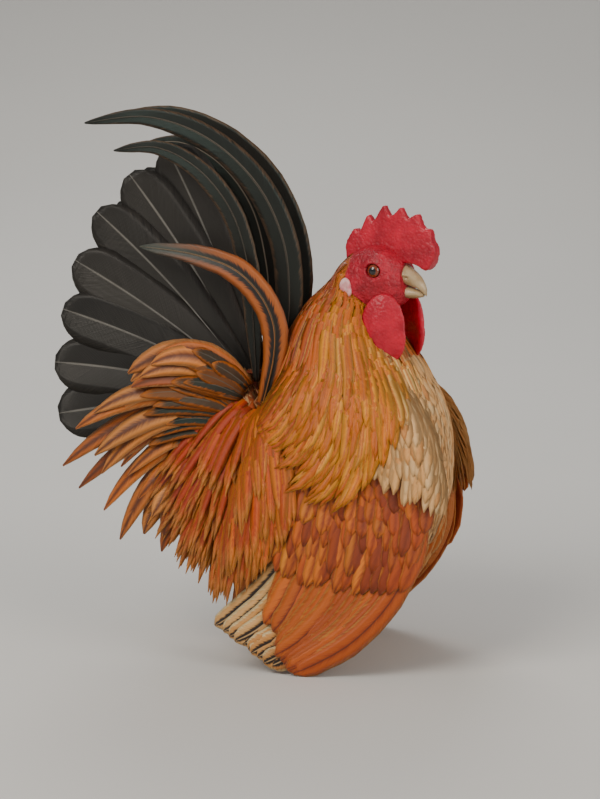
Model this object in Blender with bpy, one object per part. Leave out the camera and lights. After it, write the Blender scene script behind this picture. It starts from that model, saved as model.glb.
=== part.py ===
"""A Japanese bantam cockerel, life size, standing with its wings drooped to the floor.

The bird faces +X, its left side is +Y and +Z is up. Sizes are in millimetres until MM turns them to metres.
The torso and neck are one loft between a back line and a belly line, parted by thin gaps. The wings are laid
on the torso, and the feathers are vanes fused to the piece that they grow from.
"""

import math
import random

import bpy
import bmesh
from mathutils import Matrix, Vector
from mathutils.bvhtree import BVHTree

MM = 0.001
GAP = 0.3            # between two pieces that meet
FLATNESS = (1.6, 1.3, 1.0, 0.8, 0.6, 0.4, 0.3, 0.2, 0.1)  # faces this close to one plane, in degrees, are joined after a cut
WELDS = (0.01, 0.02, 0.006, 0.03, 0.003, 0.001, 0.0)  # and points this close, in millimetres, are made one
SOLE_SLACK = 0.05     # over the soles' level, what is brought down to it
SEED = 5
# How far a piece may be moved aside where joining it, or cutting with it, would pinch the mesh along an edge.
NUDGES = {"UNION": 0.6, "DIFFERENCE": 0.08}
CUT_GAP = 0.42       # how far a neighbour is grown before it trims a piece, so that the gap stays over GAP
RIGHT, LEFT = -1, 1  # which way along Y each side lies

# The body, from the tail's root to the top of the neck: the back's x and z, the belly's or breast's x and z,
# the half width, and how far down from the back the widest place is.
BODY = [
    (-70, 166, -76, 146, 9, 0.50),
    (-62, 163, -79, 124, 20, 0.50),
    (-55, 157, -78, 98, 32, 0.50),
    (-50, 153, -68, 70, 43, 0.52),
    (-47, 152, -44, 47, 50, 0.55),
    (-45, 154, -12, 37, 52, 0.57),
    (-44, 158, 18, 42, 53, 0.58),
    (-43, 163, 41, 62, 51, 0.58),
    (-41, 170, 54, 90, 47, 0.58),
    (-38, 178, 57, 120, 42, 0.56),
    (-35, 187, 53, 146, 36, 0.54),
    (-30, 196, 42, 168, 30, 0.52),
    (-23, 206, 31, 186, 23, 0.50),
    (-14, 216, 24, 200, 17.5, 0.50),
]
FULLNESS = 0.88      # under 1 makes the body's sections squarer than an ellipse
TAIL_ROOT_END = 1.5  # where along BODY the tail's root meets the torso
NECK_START = 9.0     # where the torso meets the neck
NECK_END = 13.0
BODY_SIDES = 20

# The head, straight ahead and before it turns: the crown's x and z, the throat's x and z, and the half width.
HEAD = [
    (-6, 227, 22, 203, 17.0),
    (4, 236, 26, 204, 16.0),
    (15, 240, 29, 206, 15.0),
    (24, 239, 32, 208, 13.5),
    (30.5, 235, 34.5, 211, 10.5),
    (34.5, 231, 36.5, 213, 8.0),
]
HEAD_PIVOT = (5, 0)  # the x and y of the upright line that the head turns about
HEAD_TURN = -20      # degrees, towards the bird's right
EYE = (22, 13.2, 227)
EYE_RADIUS = 4.3

# The upper and lower halves of the beak: x, top z, bottom z and half width at each station.
UPPER_BEAK = [
    (32, 230, 219.2, 6.4), (38, 229, 218.2, 5.6), (43, 226, 217, 4.2), (47, 221, 215, 2.4), (48.5, 216.5, 213.4, 0.8),
]
LOWER_BEAK = [(32, 218.6, 211.5, 5.4), (38, 217.5, 211, 4.6), (43, 216.2, 211.6, 3.2), (46, 214.4, 212.4, 1.4)]
NOSTRIL = (38, 5.6, 223.5)

# The comb's outline in the head's own x and z, from the heel over the points to the front, with a sunk base.
COMB = [
    (-4, 233), (-4, 241), (1, 248), (4, 247), (9, 256), (13, 254.5), (20, 262.5), (25, 258), (32, 262),
    (36.5, 256.5), (43, 258), (46.5, 251.5), (51, 250), (52.5, 244.5), (55, 240), (54, 233), (50.5, 228),
    (45.5, 228.5), (40, 231), (30, 231), (16, 232), (4, 231),
]
COMB_THICK = 6.0
COMB_EDGE = 1.6      # the rounding of its rim
WATTLE = (27, 7.5, 197)
WATTLE_SIZE = (13.5, 3.2, 18)
EARLOBE = (4, 17.2, 217)
EARLOBE_SIZE = (4.2, 2.4, 5.2)
LAPPET = (10, 13.5, 205)
LAPPET_SIZE = (5.5, 3.0, 8.5)
LID = (5.2, 1.1)     # the lids' ring round the eye, and the ring's own radius

# The wing, from the shoulder to the tip: the leading edge's x, z and y, the trailing edge's x, z and y,
# how far the outer face bulges, and how far the inner face lies within.
WING = [
    (34, 150, 37, -18, 152, 41, 3, 2),
    (47, 134, 40, -36, 138, 48, 6, 6),
    (54, 112, 41, -46, 114, 54, 9, 8),
    (55, 90, 43, -53, 90, 58, 9, 7),
    (52, 67, 48, -58, 66, 60, 8, 5),
    (41, 44, 53, -62, 44, 61, 6, 3.5),
    (21, 22, 57, -65, 29, 61, 4, 2.2),
    (-2, 7, 59, -66, 21, 60, 2.4, 1.4),
    (-18, -0.8, 60, -62, 16, 60, 1.4, 0.8),
]

# The wing's core stops short of its edges and its lower half, which are feathers.
WING_CORE = (0, 5.0, 0.05, 0.9)
# Its tiers from the tip up: how many feathers, the v and u of the first and last root, the v and u of the first
# and last tip, half a feather's width, the lift of its tip, and how far it leans like a roof tile.
WING_TIERS = [
    (3, (4.3, 0.55), (3.9, 0.9), (8.0, 0.46), (7.5, 0.95), 9.0, 0.2, 4),
    (5, (3.3, 0.12), (2.7, 0.84), (7.5, 0.12), (5.9, 0.92), 12.5, 2.8, 3),
    (5, (2.1, 0.12), (1.6, 0.86), (4.3, 0.11), (3.7, 0.9), 12.5, 5.2, 3),
    (4, (0.7, 0.12), (0.4, 0.82), (2.6, 0.1), (2.2, 0.88), 15.0, 7.4, 3),
]
WING_VANE_SHAPE = [(0, 0.6), (0.3, 0.95), (0.75, 1.0), (0.93, 0.72), (1.0, 0.25)]

# The neck's hackle, in rings of locks from the shoulders up: where the roots lie along BODY, how many there are,
# the lock's length as a share of HACKLE_LENGTHS, half its width, and the lift of its tip.
HACKLE_ROWS = [
    (9.8, 11, 1.0, 10.2, 1.0),
    (11.2, 9, 0.66, 8.8, 3.6),
    (12.5, 6, 0.5, 7.4, 5.4),
]
HACKLE_LENGTHS = [(30,), (42,), (74,), (70,), (46,), (26,), (16,)]  # at every 30 degrees from back to throat
HACKLE_SHAPE = [(0, 0.75), (0.3, 1.0), (0.65, 0.85), (1.0, 0.1)]

# The saddle's locks of one side, from the lowest tier up: how many, the root of the first and last as a place
# along BODY and an angle from the back, the tips of the first, the middle and the last, half a lock's width, and
# how far its middle swells out.
SADDLE_TIERS = [
    (5, (6.0, 66), (1.9, 66), [(-24, 62, 86), (-60, 62, 46), (-112, 40, 88)], 10.6, 9),
    (3, (5.4, 36), (1.8, 34), [(-32, 56, 118), (-62, 60, 86), (-98, 36, 118)], 11.0, 10),
]
SADDLE_SHAPE = [(0, 0.6), (0.25, 0.9), (0.6, 1.0), (0.85, 0.6), (1.0, 0.1)]
LOCK_CLEAR = 2.2     # between a lock's middle and what it lies over

# The legs: short, under the belly, each with three toes in front and one behind.
LEG_Y = 29
THIGH = (-34, 29, 54)
THIGH_SIZE = (20, 15, 22)
HOCK = (-48, 36)
ANKLE = (-34, 8)
SHANK_RADIUS = 4.6
TOE_HEIGHT = 3.4     # of a toe's centre line over the floor
TOE_RADIUS = (3.7, 2.7)
TOES = [(0, 31), (28, 25), (-28, 25), (172, 13)]  # the way each points, in degrees, and its length
CLAW = 7

# The main tail feathers of one side, from the top down: how steep each stands in degrees, and its length.
RETRICES = [(74, 145), (58, 140), (43, 129), (28, 121), (13, 116), (-2, 110)]
RETRIX_ROOT = (-57, 156)
RETRIX_HALF = 18.5   # half its width
RETRIX_SHAPE = [(0, 0.3), (0.25, 0.7), (0.6, 1.0), (0.86, 0.92), (0.96, 0.6), (1.0, 0.25)]
RETRIX_DROOP = 14    # degrees that it bends over from root to tip
VANE_THICK = 0.9

# The arched feathers over the tail: the x and z that each passes through, its y at the root and the tip, and
# half its width.
SICKLES = {
    "sickle": (
        [(-46, 158), (-38, 185), (-35.5, 212), (-39, 243), (-54, 274), (-82, 299), (-118, 311), (-156, 307)],
        8, 17, 8.5),
    "second_sickle": (
        [(-54, 160), (-55, 190), (-57, 222), (-66, 256), (-85, 281), (-110, 294), (-136, 292)],
        15, 24, 6.5),
    "lesser_sickle": (
        [(-55, 150), (-42, 178), (-43, 202), (-60, 224), (-86, 234), (-119, 238)],
        22, 30, 8.0),
}
SICKLE_SHAPE = [0.55, 0.85, 1.0, 1.0, 0.95, 0.88, 0.75, 0.52, 0.2]

# The tail coverts and side hangers of one side: the x and z of root, crest and tip, the y of root and tip, and
# half the width. They arch back and down outside the tail.
HANGERS = [
    ((-58, 157), (-92, 176), (-124, 160), 17, 44, 7.5),
    ((-60, 152), (-94, 164), (-129, 148), 20, 46, 7.5),
    ((-62, 148), (-112, 158), (-157, 128), 23, 50, 9.0),
    ((-63, 142), (-110, 144), (-160, 104), 26, 48, 9.0),
    ((-64, 136), (-108, 132), (-154, 84), 28, 46, 8.5),
    ((-66, 130), (-104, 118), (-140, 74), 30, 44, 8.0),
    ((-66, 122), (-98, 104), (-120, 66), 32, 46, 8.0),
]
HANGER_PAD = (-60, 27, 140)
HANGER_PAD_SIZE = (13, 10, 24)
HANGER_SHAPE = [0.5, 0.9, 1.0, 0.95, 0.7, 0.2]


def millimetres(x, y, z):
    """A point given in millimetres."""
    return Vector((x, y, z)) * MM


def between(values, t):
    """A row of numbers read from a table of rows at place t, along a smooth curve through the rows."""
    last = len(values) - 1
    i = min(max(int(math.floor(t)), 0), last - 1)
    f = t - i
    rows = [values[min(max(i + k, 0), last)] for k in (-1, 0, 1, 2)]
    found = []
    for a, b, c, d in zip(*rows):
        found.append(b + 0.5 * f * (c - a + f * (2 * a - 5 * b + 4 * c - d + f * (3 * (b - c) + d - a))))
    return found


def span(start, end, count):
    """Count numbers from start to end."""
    return [start + (end - start) * k / (count - 1) for k in range(count)]


def body_point(t, angle, lift=0.0):
    """A point on the body: t along BODY, angle in degrees from the back (0) to the belly (180), left if positive."""
    def place(t, angle):
        back_x, back_z, belly_x, belly_z, half, widest = between(BODY, t)
        back, belly = millimetres(back_x, 0, back_z), millimetres(belly_x, 0, belly_z)
        middle = back.lerp(belly, widest)
        c, s = math.cos(math.radians(angle)), math.sin(math.radians(angle))
        up = math.copysign(abs(c) ** FULLNESS, c)
        out = math.copysign(abs(s) ** FULLNESS, s)
        towards = (back - middle) * up if c >= 0 else (belly - middle) * -up
        return middle + towards + Vector((0, half * MM * out, 0))

    here = place(t, angle)
    along = place(t + 0.05, angle) - place(t - 0.05, angle)
    round_it = place(t, angle + 2) - place(t, angle - 2)
    normal = along.cross(round_it).normalized()
    return here + normal * lift * MM, normal


def wing_point(v, u, side, lift=0.0):
    """A point on the wing's outer face: v from the shoulder to the tip, u from the leading to the trailing edge."""
    def place(v, u):
        lx, lz, ly, rx, rz, ry, bulge, _ = between(WING, v)
        arch = (4 * u * (1 - u)) ** 0.6 if 0 < u < 1 else 0
        return millimetres(lx + (rx - lx) * u, side * (ly + (ry - ly) * u + bulge * arch), lz + (rz - lz) * u)

    here = place(v, u)
    down = place(v + 0.05, u) - place(v - 0.05, u)
    across = place(v, u + 0.03) - place(v, u - 0.03)
    normal = across.cross(down).normalized()
    if normal.y * side < 0:
        normal.negate()
    return here + normal * lift * MM, normal


def turned(point):
    """A point of the head, given straight ahead, where the head's turn takes it."""
    pivot = Vector((HEAD_PIVOT[0] * MM, HEAD_PIVOT[1] * MM, 0))
    return Matrix.Rotation(math.radians(HEAD_TURN), 3, "Z") @ (point - pivot) + pivot


def clear_scene():
    for obj in list(bpy.data.objects):
        bpy.data.objects.remove(obj)


def finish(name, colour, roughness):
    """A material with the part's plain colour."""
    made = bpy.data.materials.get(name)
    if made is None:
        made = bpy.data.materials.new(name)
        made.use_nodes = True
        shader = made.node_tree.nodes["Principled BSDF"]
        shader.inputs["Base Color"].default_value = (*colour, 1)
        shader.inputs["Roughness"].default_value = roughness
        shader.inputs["Metallic"].default_value = 0.0
    return made


def add_object(name, mesh, material=None, collection=None):
    obj = bpy.data.objects.new(name, mesh)
    (collection or bpy.data.collections["bantam"]).objects.link(obj)
    if material is not None:
        mesh.materials.clear()
        mesh.materials.append(material)
    return obj


def mesh_from(name, points, faces):
    """A closed mesh from points and faces, with its faces turned outwards."""
    mesh = bpy.data.meshes.new(name)
    mesh.from_pydata([tuple(p) for p in points], [], faces)
    shape = bmesh.new()
    shape.from_mesh(mesh)
    bmesh.ops.recalc_face_normals(shape, faces=shape.faces)
    shape.to_mesh(mesh)
    shape.free()
    return mesh


def loft(name, rings):
    """A closed skin through rings of equally many points, capped flat at both ends."""
    sides = len(rings[0])
    points = [p for ring in rings for p in ring]
    faces = []
    for r in range(len(rings) - 1):
        for k in range(sides):
            n = (k + 1) % sides
            faces.append((r * sides + k, r * sides + n, (r + 1) * sides + n, (r + 1) * sides + k))
    faces.append(tuple(range(sides)))
    faces.append(tuple((len(rings) - 1) * sides + k for k in range(sides)))
    return mesh_from(name, points, faces)


def body_ring(t, shift=0.0):
    """The body's section at t, moved shift millimetres along the body towards the head."""
    ring = [body_point(t, 360 * k / BODY_SIDES - 180)[0] for k in range(BODY_SIDES)]
    if shift:
        along = (ring[1] - ring[0]).cross(ring[BODY_SIDES // 2] - ring[0]).normalized()
        ahead = body_point(t + 0.1, 90)[0] - body_point(t, 90)[0]
        if along.dot(ahead) < 0:
            along.negate()
        ring = [p + along * shift * MM for p in ring]
    return ring


def evaluated_mesh(obj):
    graph = bpy.context.evaluated_depsgraph_get()
    graph.update()
    return bpy.data.meshes.new_from_object(obj.evaluated_get(graph), depsgraph=graph)


def tidied(mesh, flatness=0.0, weld=0.0):
    """The mesh's largest closed surface, its nearly flat faces joined, or None if that pinches along an edge."""
    shape = bmesh.new()
    shape.from_mesh(mesh)
    drop_small_shells(shape)
    if flatness:
        bmesh.ops.dissolve_limit(
            shape, angle_limit=math.radians(flatness), use_dissolve_boundaries=False,
            verts=shape.verts, edges=shape.edges)
    bmesh.ops.triangulate(shape, faces=shape.faces)
    if weld:
        bmesh.ops.remove_doubles(shape, verts=shape.verts, dist=weld * MM)
        bmesh.ops.dissolve_degenerate(shape, dist=weld * MM, edges=shape.edges)
        bmesh.ops.triangulate(shape, faces=shape.faces)
    if flatness or weld:
        drop_small_shells(shape)
    closed = all(len(edge.link_faces) == 2 for edge in shape.edges)
    if closed:
        shape.to_mesh(mesh)
    shape.free()
    return mesh if closed else None


def thin_out(obj):
    """Joins the nearly flat faces that the cuts leave, as far as the mesh stays closed."""
    for weld in WELDS:
        for flatness in FLATNESS:
            if tidied(obj.data, flatness, weld):
                return


def drop_small_shells(shape):
    """Deletes all faces that aren't joined to the largest closed surface across their edges."""
    left = set(shape.faces)
    shells = []
    while left:
        stack = [left.pop()]
        shell = list(stack)
        while stack:
            for edge in stack.pop().edges:
                if len(edge.link_faces) == 2:
                    for face in edge.link_faces:
                        if face in left:
                            left.remove(face)
                            shell.append(face)
                            stack.append(face)
        shells.append(shell)
    shells.sort(key=lambda shell: abs(shell_volume(shell)))
    for shell in shells[:-1]:
        bmesh.ops.delete(shape, geom=shell, context="FACES")


def shell_volume(faces):
    """The volume inside one closed surface."""
    total = 0.0
    for face in faces:
        corners = [vert.co for vert in face.verts]
        for a, b in zip(corners[1:-1], corners[2:]):
            total += corners[0].dot(a.cross(b)) / 6
    return total


def apply_boolean(obj, operation, others):
    """Joins or cuts obj with the other objects at once, and removes them."""
    group = bpy.data.collections.new(obj.name + "_pieces")
    bpy.context.scene.collection.children.link(group)
    for other in others:
        for collection in list(other.users_collection):
            collection.objects.unlink(other)
        group.objects.link(other)
    step = obj.modifiers.new("Join" if operation == "UNION" else "Cut", "BOOLEAN")
    step.operation = operation
    step.operand_type = "COLLECTION"
    step.collection = group
    step.solver = "MANIFOLD"
    made = tidied(evaluated_mesh(obj))
    shake = random.Random(SEED)
    tries = 0
    while made is None:
        for other in others:
            other.location = Vector([shake.uniform(-1, 1) * NUDGES[operation] * MM for _ in range(3)])
        made = tidied(evaluated_mesh(obj))
        tries += 1
        if tries == 80:
            raise ValueError(f"{obj.name} can't be joined or cut cleanly")
    obj.modifiers.clear()
    materials = list(obj.data.materials)
    obj.data = made
    made.materials.clear()
    for material in materials:
        made.materials.append(material)
    for other in others:
        bpy.data.objects.remove(other)
    bpy.data.collections.remove(group)


def grown(mesh, by=CUT_GAP):
    """A cutter: the mesh with each point moved outwards."""
    copy = mesh.copy()
    shape = bmesh.new()
    shape.from_mesh(copy)
    shape.normal_update()
    moves = [(vert, vert.normal * min(vert.calc_shell_factor(), 2.0)) for vert in shape.verts]
    for vert, move in moves:
        vert.co += move * by * MM
    shape.to_mesh(copy)
    shape.free()
    return add_object("cutter", copy)


def moved(mesh, way, by=CUT_GAP):
    """A cutter for sharp tips: the mesh moved aside by the gap."""
    copy = mesh.copy()
    copy.transform(Matrix.Translation(Vector(way) * by * MM))
    return add_object("cutter", copy)


def crossing(obj, other):
    """True where the surfaces of two objects still cross."""
    return bool(neighbour_trees([obj])[0].overlap(neighbour_trees([other])[0]))


def cut_clear(obj, neighbours):
    """Cuts obj clear of its neighbours by the gap, also round their sharp tips."""
    apply_boolean(obj, "DIFFERENCE", [grown(other.data) for other in neighbours])
    for other in neighbours:
        for way in ((0, 1, 0), (0, -1, 0), (0, 0, 1), (0, 0, -1), (1, 0, 0), (-1, 0, 0)):
            if crossing(obj, other):
                apply_boolean(obj, "DIFFERENCE", [moved(other.data, way)])


def floor_slab():
    """A cutter that takes off all that would lie under the floor."""
    shape = bmesh.new()
    bmesh.ops.create_cube(shape, size=1.0)
    bmesh.ops.scale(shape, vec=(0.6, 0.4, 0.1), verts=shape.verts)
    bmesh.ops.translate(shape, vec=(0, 0, -0.05), verts=shape.verts)
    mesh = bpy.data.meshes.new("floor")
    shape.to_mesh(mesh)
    shape.free()
    return add_object("cutter", mesh)


def make_torso():
    rings = [body_ring(TAIL_ROOT_END, GAP)] + [body_ring(t) for t in span(TAIL_ROOT_END + 0.4, NECK_START, 12)]
    return add_object("torso", loft("torso", rings), finish("chestnut_plumage", (0.42, 0.13, 0.03), 0.7))


def make_neck():
    rings = [body_ring(NECK_START, GAP)] + [body_ring(t) for t in span(NECK_START + 0.4, NECK_END, 6)]
    return add_object("neck", loft("neck", rings), finish("golden_hackle", (0.55, 0.22, 0.05), 0.65))


def side_name(name, side):
    return name + ("_left" if side == LEFT else "_right")


def head_place(place, side=LEFT):
    """Where a point of the head, given for its left side, lies on either side of the turned head."""
    return turned(millimetres(place[0], side * place[1], place[2]))


def make_head(neck):
    """The bare red head with its lids and lappets, and a socket for each eye."""
    rings = [body_ring(NECK_END, GAP)]
    for t in span(0, len(HEAD) - 1, 7):
        crown_x, crown_z, throat_x, throat_z, half = between(HEAD, t)
        crown, throat = millimetres(crown_x, 0, crown_z), millimetres(throat_x, 0, throat_z)
        middle = (crown + throat) / 2
        ring = []
        for k in range(BODY_SIDES):
            angle = math.radians(360 * k / BODY_SIDES - 180)
            c, s = math.cos(angle), math.sin(angle)
            out = math.copysign(abs(s) ** FULLNESS, s)
            ring.append(turned(middle + (crown - middle) * c + Vector((0, half * MM * out, 0))))
        rings.append(ring)
    head = add_object("head", loft("head", rings), finish("red_skin", (0.5, 0.02, 0.03), 0.5))
    lids = []
    lappets = []
    eyes = []
    for side in (RIGHT, LEFT):
        eye = make_ball(side_name("eye", side), head_place(EYE, side), [EYE_RADIUS] * 3, eye_finish(), segments=14, rings=8)
        eyes.append(eye)
        lids.append(make_ring(head_place((EYE[0], EYE[1] + 1.2, EYE[2]), side), LID, side))
        lappets.append(make_ball("lappet", head_place(LAPPET, side), LAPPET_SIZE, None, HEAD_TURN + side * 12, 12, 8))
    apply_boolean(head, "UNION", lids + lappets)
    apply_boolean(head, "DIFFERENCE", [grown(neck.data)] + [grown(eye.data) for eye in eyes])
    return head


def eye_finish():
    return finish("dark_eye", (0.05, 0.02, 0.01), 0.1)


def make_ring(centre, radii, side):
    """The lids: a ring round the eye that faces outwards."""
    bpy.ops.mesh.primitive_torus_add(
        major_segments=16, minor_segments=6, major_radius=radii[0] * MM, minor_radius=radii[1] * MM)
    ring = bpy.context.object
    facing = Matrix.Rotation(math.radians(HEAD_TURN + side * 6), 4, "Z") @ Matrix.Rotation(math.radians(90), 4, "X")
    ring.data.transform(Matrix.Translation(centre) @ facing)
    return ring


def make_beak(name, stations, head, cutters):
    """Half of the beak, cut to meet the head."""
    rings = []
    for x, top, bottom, half in stations:
        ring = []
        for k in range(10):
            angle = math.radians(36 * k)
            z = (top + bottom) / 2 + (top - bottom) / 2 * math.cos(angle)
            ring.append(turned(millimetres(x, half * math.sin(angle), z)))
        rings.append(ring)
    beak = add_object(name, loft(name, rings), finish("horn", (0.7, 0.6, 0.42), 0.35))
    apply_boolean(beak, "DIFFERENCE", [grown(head.data)] + cutters)
    return beak


def make_ball(name, centre, radii, material, turn=0.0, segments=16, rings=10):
    """An ellipsoid with its radii in millimetres, turned about the upright in degrees."""
    shape = bmesh.new()
    bmesh.ops.create_uvsphere(shape, u_segments=segments, v_segments=rings, radius=1.0)
    size = Matrix.Diagonal((radii[0] * MM, radii[1] * MM, radii[2] * MM, 1))
    place = Matrix.Translation(centre) @ Matrix.Rotation(math.radians(turn), 4, "Z") @ size
    bmesh.ops.transform(shape, matrix=place, verts=shape.verts)
    mesh = bpy.data.meshes.new(name)
    shape.to_mesh(mesh)
    shape.free()
    return add_object(name, mesh, material)


def make_comb(head, beak):
    """The single comb, cut from a flat outline, with a rounded rim."""
    outline = bpy.data.curves.new("comb", "CURVE")
    outline.dimensions = "2D"
    outline.fill_mode = "BOTH"
    outline.extrude = (COMB_THICK / 2 - COMB_EDGE) * MM
    outline.bevel_depth = COMB_EDGE * MM
    outline.bevel_resolution = 1
    line = outline.splines.new("POLY")
    line.points.add(len(COMB) - 1)
    for point, (x, z) in zip(line.points, COMB):
        point.co = (x * MM, z * MM, 0, 1)
    line.use_cyclic_u = True
    mesh = curve_mesh(outline, Matrix.Rotation(math.radians(90), 4, "X"))
    for vert in mesh.vertices:
        vert.co = turned(vert.co)
    comb = add_object("comb", mesh, finish("red_comb", (0.55, 0.01, 0.03), 0.5))
    apply_boolean(comb, "DIFFERENCE", [grown(head.data), grown(beak.data)])
    return comb


def curve_mesh(curve, matrix=Matrix.Identity(4)):
    """A curve as a closed mesh, with its caps welded."""
    holder = add_object("curve", curve)
    mesh = evaluated_mesh(holder)
    mesh.transform(matrix)
    bpy.data.objects.remove(holder)
    shape = bmesh.new()
    shape.from_mesh(mesh)
    bmesh.ops.remove_doubles(shape, verts=shape.verts, dist=0.02 * MM)
    bmesh.ops.recalc_face_normals(shape, faces=shape.faces)
    shape.to_mesh(mesh)
    shape.free()
    return mesh


def make_wattle(side, cutters):
    """A hanging wattle: a flattened drop, thin in front and behind."""
    turn = HEAD_TURN + side * 8
    wattle = make_ball(
        side_name("wattle", side), head_place(WATTLE, side), WATTLE_SIZE, finish("red_comb", (0.55, 0.01, 0.03), 0.5),
        turn, segments=16, rings=10)
    cut_clear(wattle, cutters)
    return wattle


def make_earlobe(side, head):
    turn = HEAD_TURN + side * 12
    lobe = make_ball(
        side_name("earlobe", side), head_place(EARLOBE, side), EARLOBE_SIZE, finish("pale_skin", (0.7, 0.4, 0.36), 0.5),
        turn, segments=12, rings=8)
    apply_boolean(lobe, "DIFFERENCE", [grown(head.data)])
    return lobe


def make_tube(name, points, radii, material=None):
    """A rod of six sides through points, with a radius in millimetres at each."""
    curve = bpy.data.curves.new(name, "CURVE")
    curve.dimensions = "3D"
    curve.bevel_depth = MM
    curve.bevel_resolution = 1
    curve.use_fill_caps = True
    line = curve.splines.new("POLY")
    line.points.add(len(points) - 1)
    for point, place, radius in zip(line.points, points, radii):
        point.co = (*place, 1)
        point.radius = radius
    return add_object(name, curve_mesh(curve), material)


def make_leg(side, cutters):
    """The thigh's plumage, and the shank with its foot."""
    thigh = make_ball(
        side_name("thigh", side), millimetres(THIGH[0], side * THIGH[1], THIGH[2]), THIGH_SIZE,
        finish("buff_plumage", (0.6, 0.38, 0.2), 0.8), segments=14, rings=10)
    apply_boolean(thigh, "DIFFERENCE", [grown(cutter.data) for cutter in cutters])
    hock = millimetres(HOCK[0], side * LEG_Y, HOCK[1])
    ankle = millimetres(ANKLE[0], side * LEG_Y, ANKLE[1])
    name = side_name("leg", side)
    above = hock + (hock - ankle) * 0.4
    shin = [above, hock, hock.lerp(ankle, 0.25), hock.lerp(ankle, 0.75), ankle, ankle + millimetres(1.5, 0, -4)]
    leg = make_tube(
        name, shin, [5.2, 5.4, SHANK_RADIUS, SHANK_RADIUS * 0.92, 5.2, 4.2], finish("yellow_shank", (0.6, 0.42, 0.12), 0.55))
    toes = []
    for way, length in TOES:
        heading = Matrix.Rotation(math.radians(way), 3, "Z") @ Vector((1, 0, 0))
        base = millimetres(ANKLE[0] + 1, side * LEG_Y, TOE_HEIGHT + 1.2)
        first = millimetres(ANKLE[0] + 1, side * LEG_Y, TOE_HEIGHT) + heading * length * 0.3 * MM
        end = first + heading * length * 0.62 * MM - Vector((0, 0, (TOE_HEIGHT - TOE_RADIUS[1] + 0.2) * MM))
        toes.append(make_tube("toe", [base, first, first.lerp(end, 0.6), end], [3.4, TOE_RADIUS[0], 3.1, TOE_RADIUS[1]]))
        tip = end + heading * CLAW * MM - Vector((0, 0, 1.1 * MM))
        bend = end + heading * CLAW * 0.5 * MM + Vector((0, 0, 0.9 * MM))
        toes.append(make_tube("claw", [end - heading * 1.5 * MM, bend, tip], [1.9, 1.5, 0.35]))
    apply_boolean(leg, "UNION", toes)
    apply_boolean(leg, "DIFFERENCE", [grown(thigh.data), floor_slab()])
    return leg


def vane(name, points, normals, halves, thick=VANE_THICK):
    """A feather's flat vane along points, square to normals, split into triangles alike on both faces."""
    corners = []
    last = len(points) - 1
    for i, (point, normal, half) in enumerate(zip(points, normals, halves)):
        along = points[min(i + 1, last)] - points[max(i - 1, 0)]
        across = normal.cross(along).normalized()
        up = along.cross(across).normalized() * thick / 2 * MM
        out = across * half * MM
        corners += [point - out + up, point + out + up, point + out - up, point - out - up]
    faces = [(3, 2, 1), (3, 1, 0)]
    for i in range(last):
        a, b = 4 * i, 4 * i + 4
        faces += [(a, a + 1, b + 1), (a, b + 1, b)]
        faces += [(a + 3, b + 2, a + 2), (a + 3, b + 3, b + 2)]
        faces += [(a + 1, a + 2, b + 2), (a + 1, b + 2, b + 1)]
        faces += [(a, b, b + 3), (a, b + 3, a + 3)]
    end = 4 * last
    faces += [(end, end + 1, end + 2), (end, end + 2, end + 3)]
    return mesh_from(name, corners, faces)


def make_retrices(side):
    """The broad tail feathers of one side, a fan of upright vanes that overlap downwards and outwards."""
    made = []
    for k, (steep, length) in enumerate(RETRICES):
        place = millimetres(RETRIX_ROOT[0], side * (3 + 1.5 * k), RETRIX_ROOT[1] - 1.6 * k)
        spread = math.atan2(5 + 3.2 * k, length)
        points = [place]
        shape = RETRIX_SHAPE
        for (before, _), (here, _) in zip(shape, shape[1:]):
            angle = math.radians(steep - RETRIX_DROOP * (before + here) / 2)
            step = (here - before) * length * MM
            flat = Vector((-math.cos(angle), side * math.tan(spread), math.sin(angle)))
            points.append(points[-1] + flat * step)
        normal = Vector((0, side, 0.12)).normalized()
        halves = [RETRIX_HALF * wide for _, wide in shape]
        made.append(add_object("vane", vane("vane", points, [normal] * len(points), halves)))
    return made


def make_tail(torso):
    """The tail's root with its two sides of feathers."""
    rings = [body_ring(t) for t in span(0, TAIL_ROOT_END, 5)]
    tail = add_object("tail", loft("tail", rings), finish("black_tail", (0.02, 0.02, 0.022), 0.45))
    apply_boolean(tail, "UNION", make_retrices(RIGHT) + make_retrices(LEFT))
    apply_boolean(tail, "DIFFERENCE", [grown(torso.data)])
    return tail


def make_sickle(name, side, cutters):
    """One long arched feather, its vane upright."""
    path, root_y, tip_y, half = SICKLES[name]
    count = len(SICKLE_SHAPE)
    points = []
    for t in span(0, len(path) - 1, count):
        x, z = between(path, t)
        part = t / (len(path) - 1)
        points.append(millimetres(x, side * (root_y + (tip_y - root_y) * part), z))
    normal = Vector((0, side, 0.1)).normalized()
    material = finish("black_tail", (0.02, 0.02, 0.022), 0.45)
    mesh = vane(name, points, [normal] * count, [half * wide for wide in SICKLE_SHAPE], 1.1)
    sickle = add_object(side_name(name, side), mesh, material)
    apply_boolean(sickle, "DIFFERENCE", [grown(cutter.data) for cutter in cutters])
    return sickle


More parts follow.
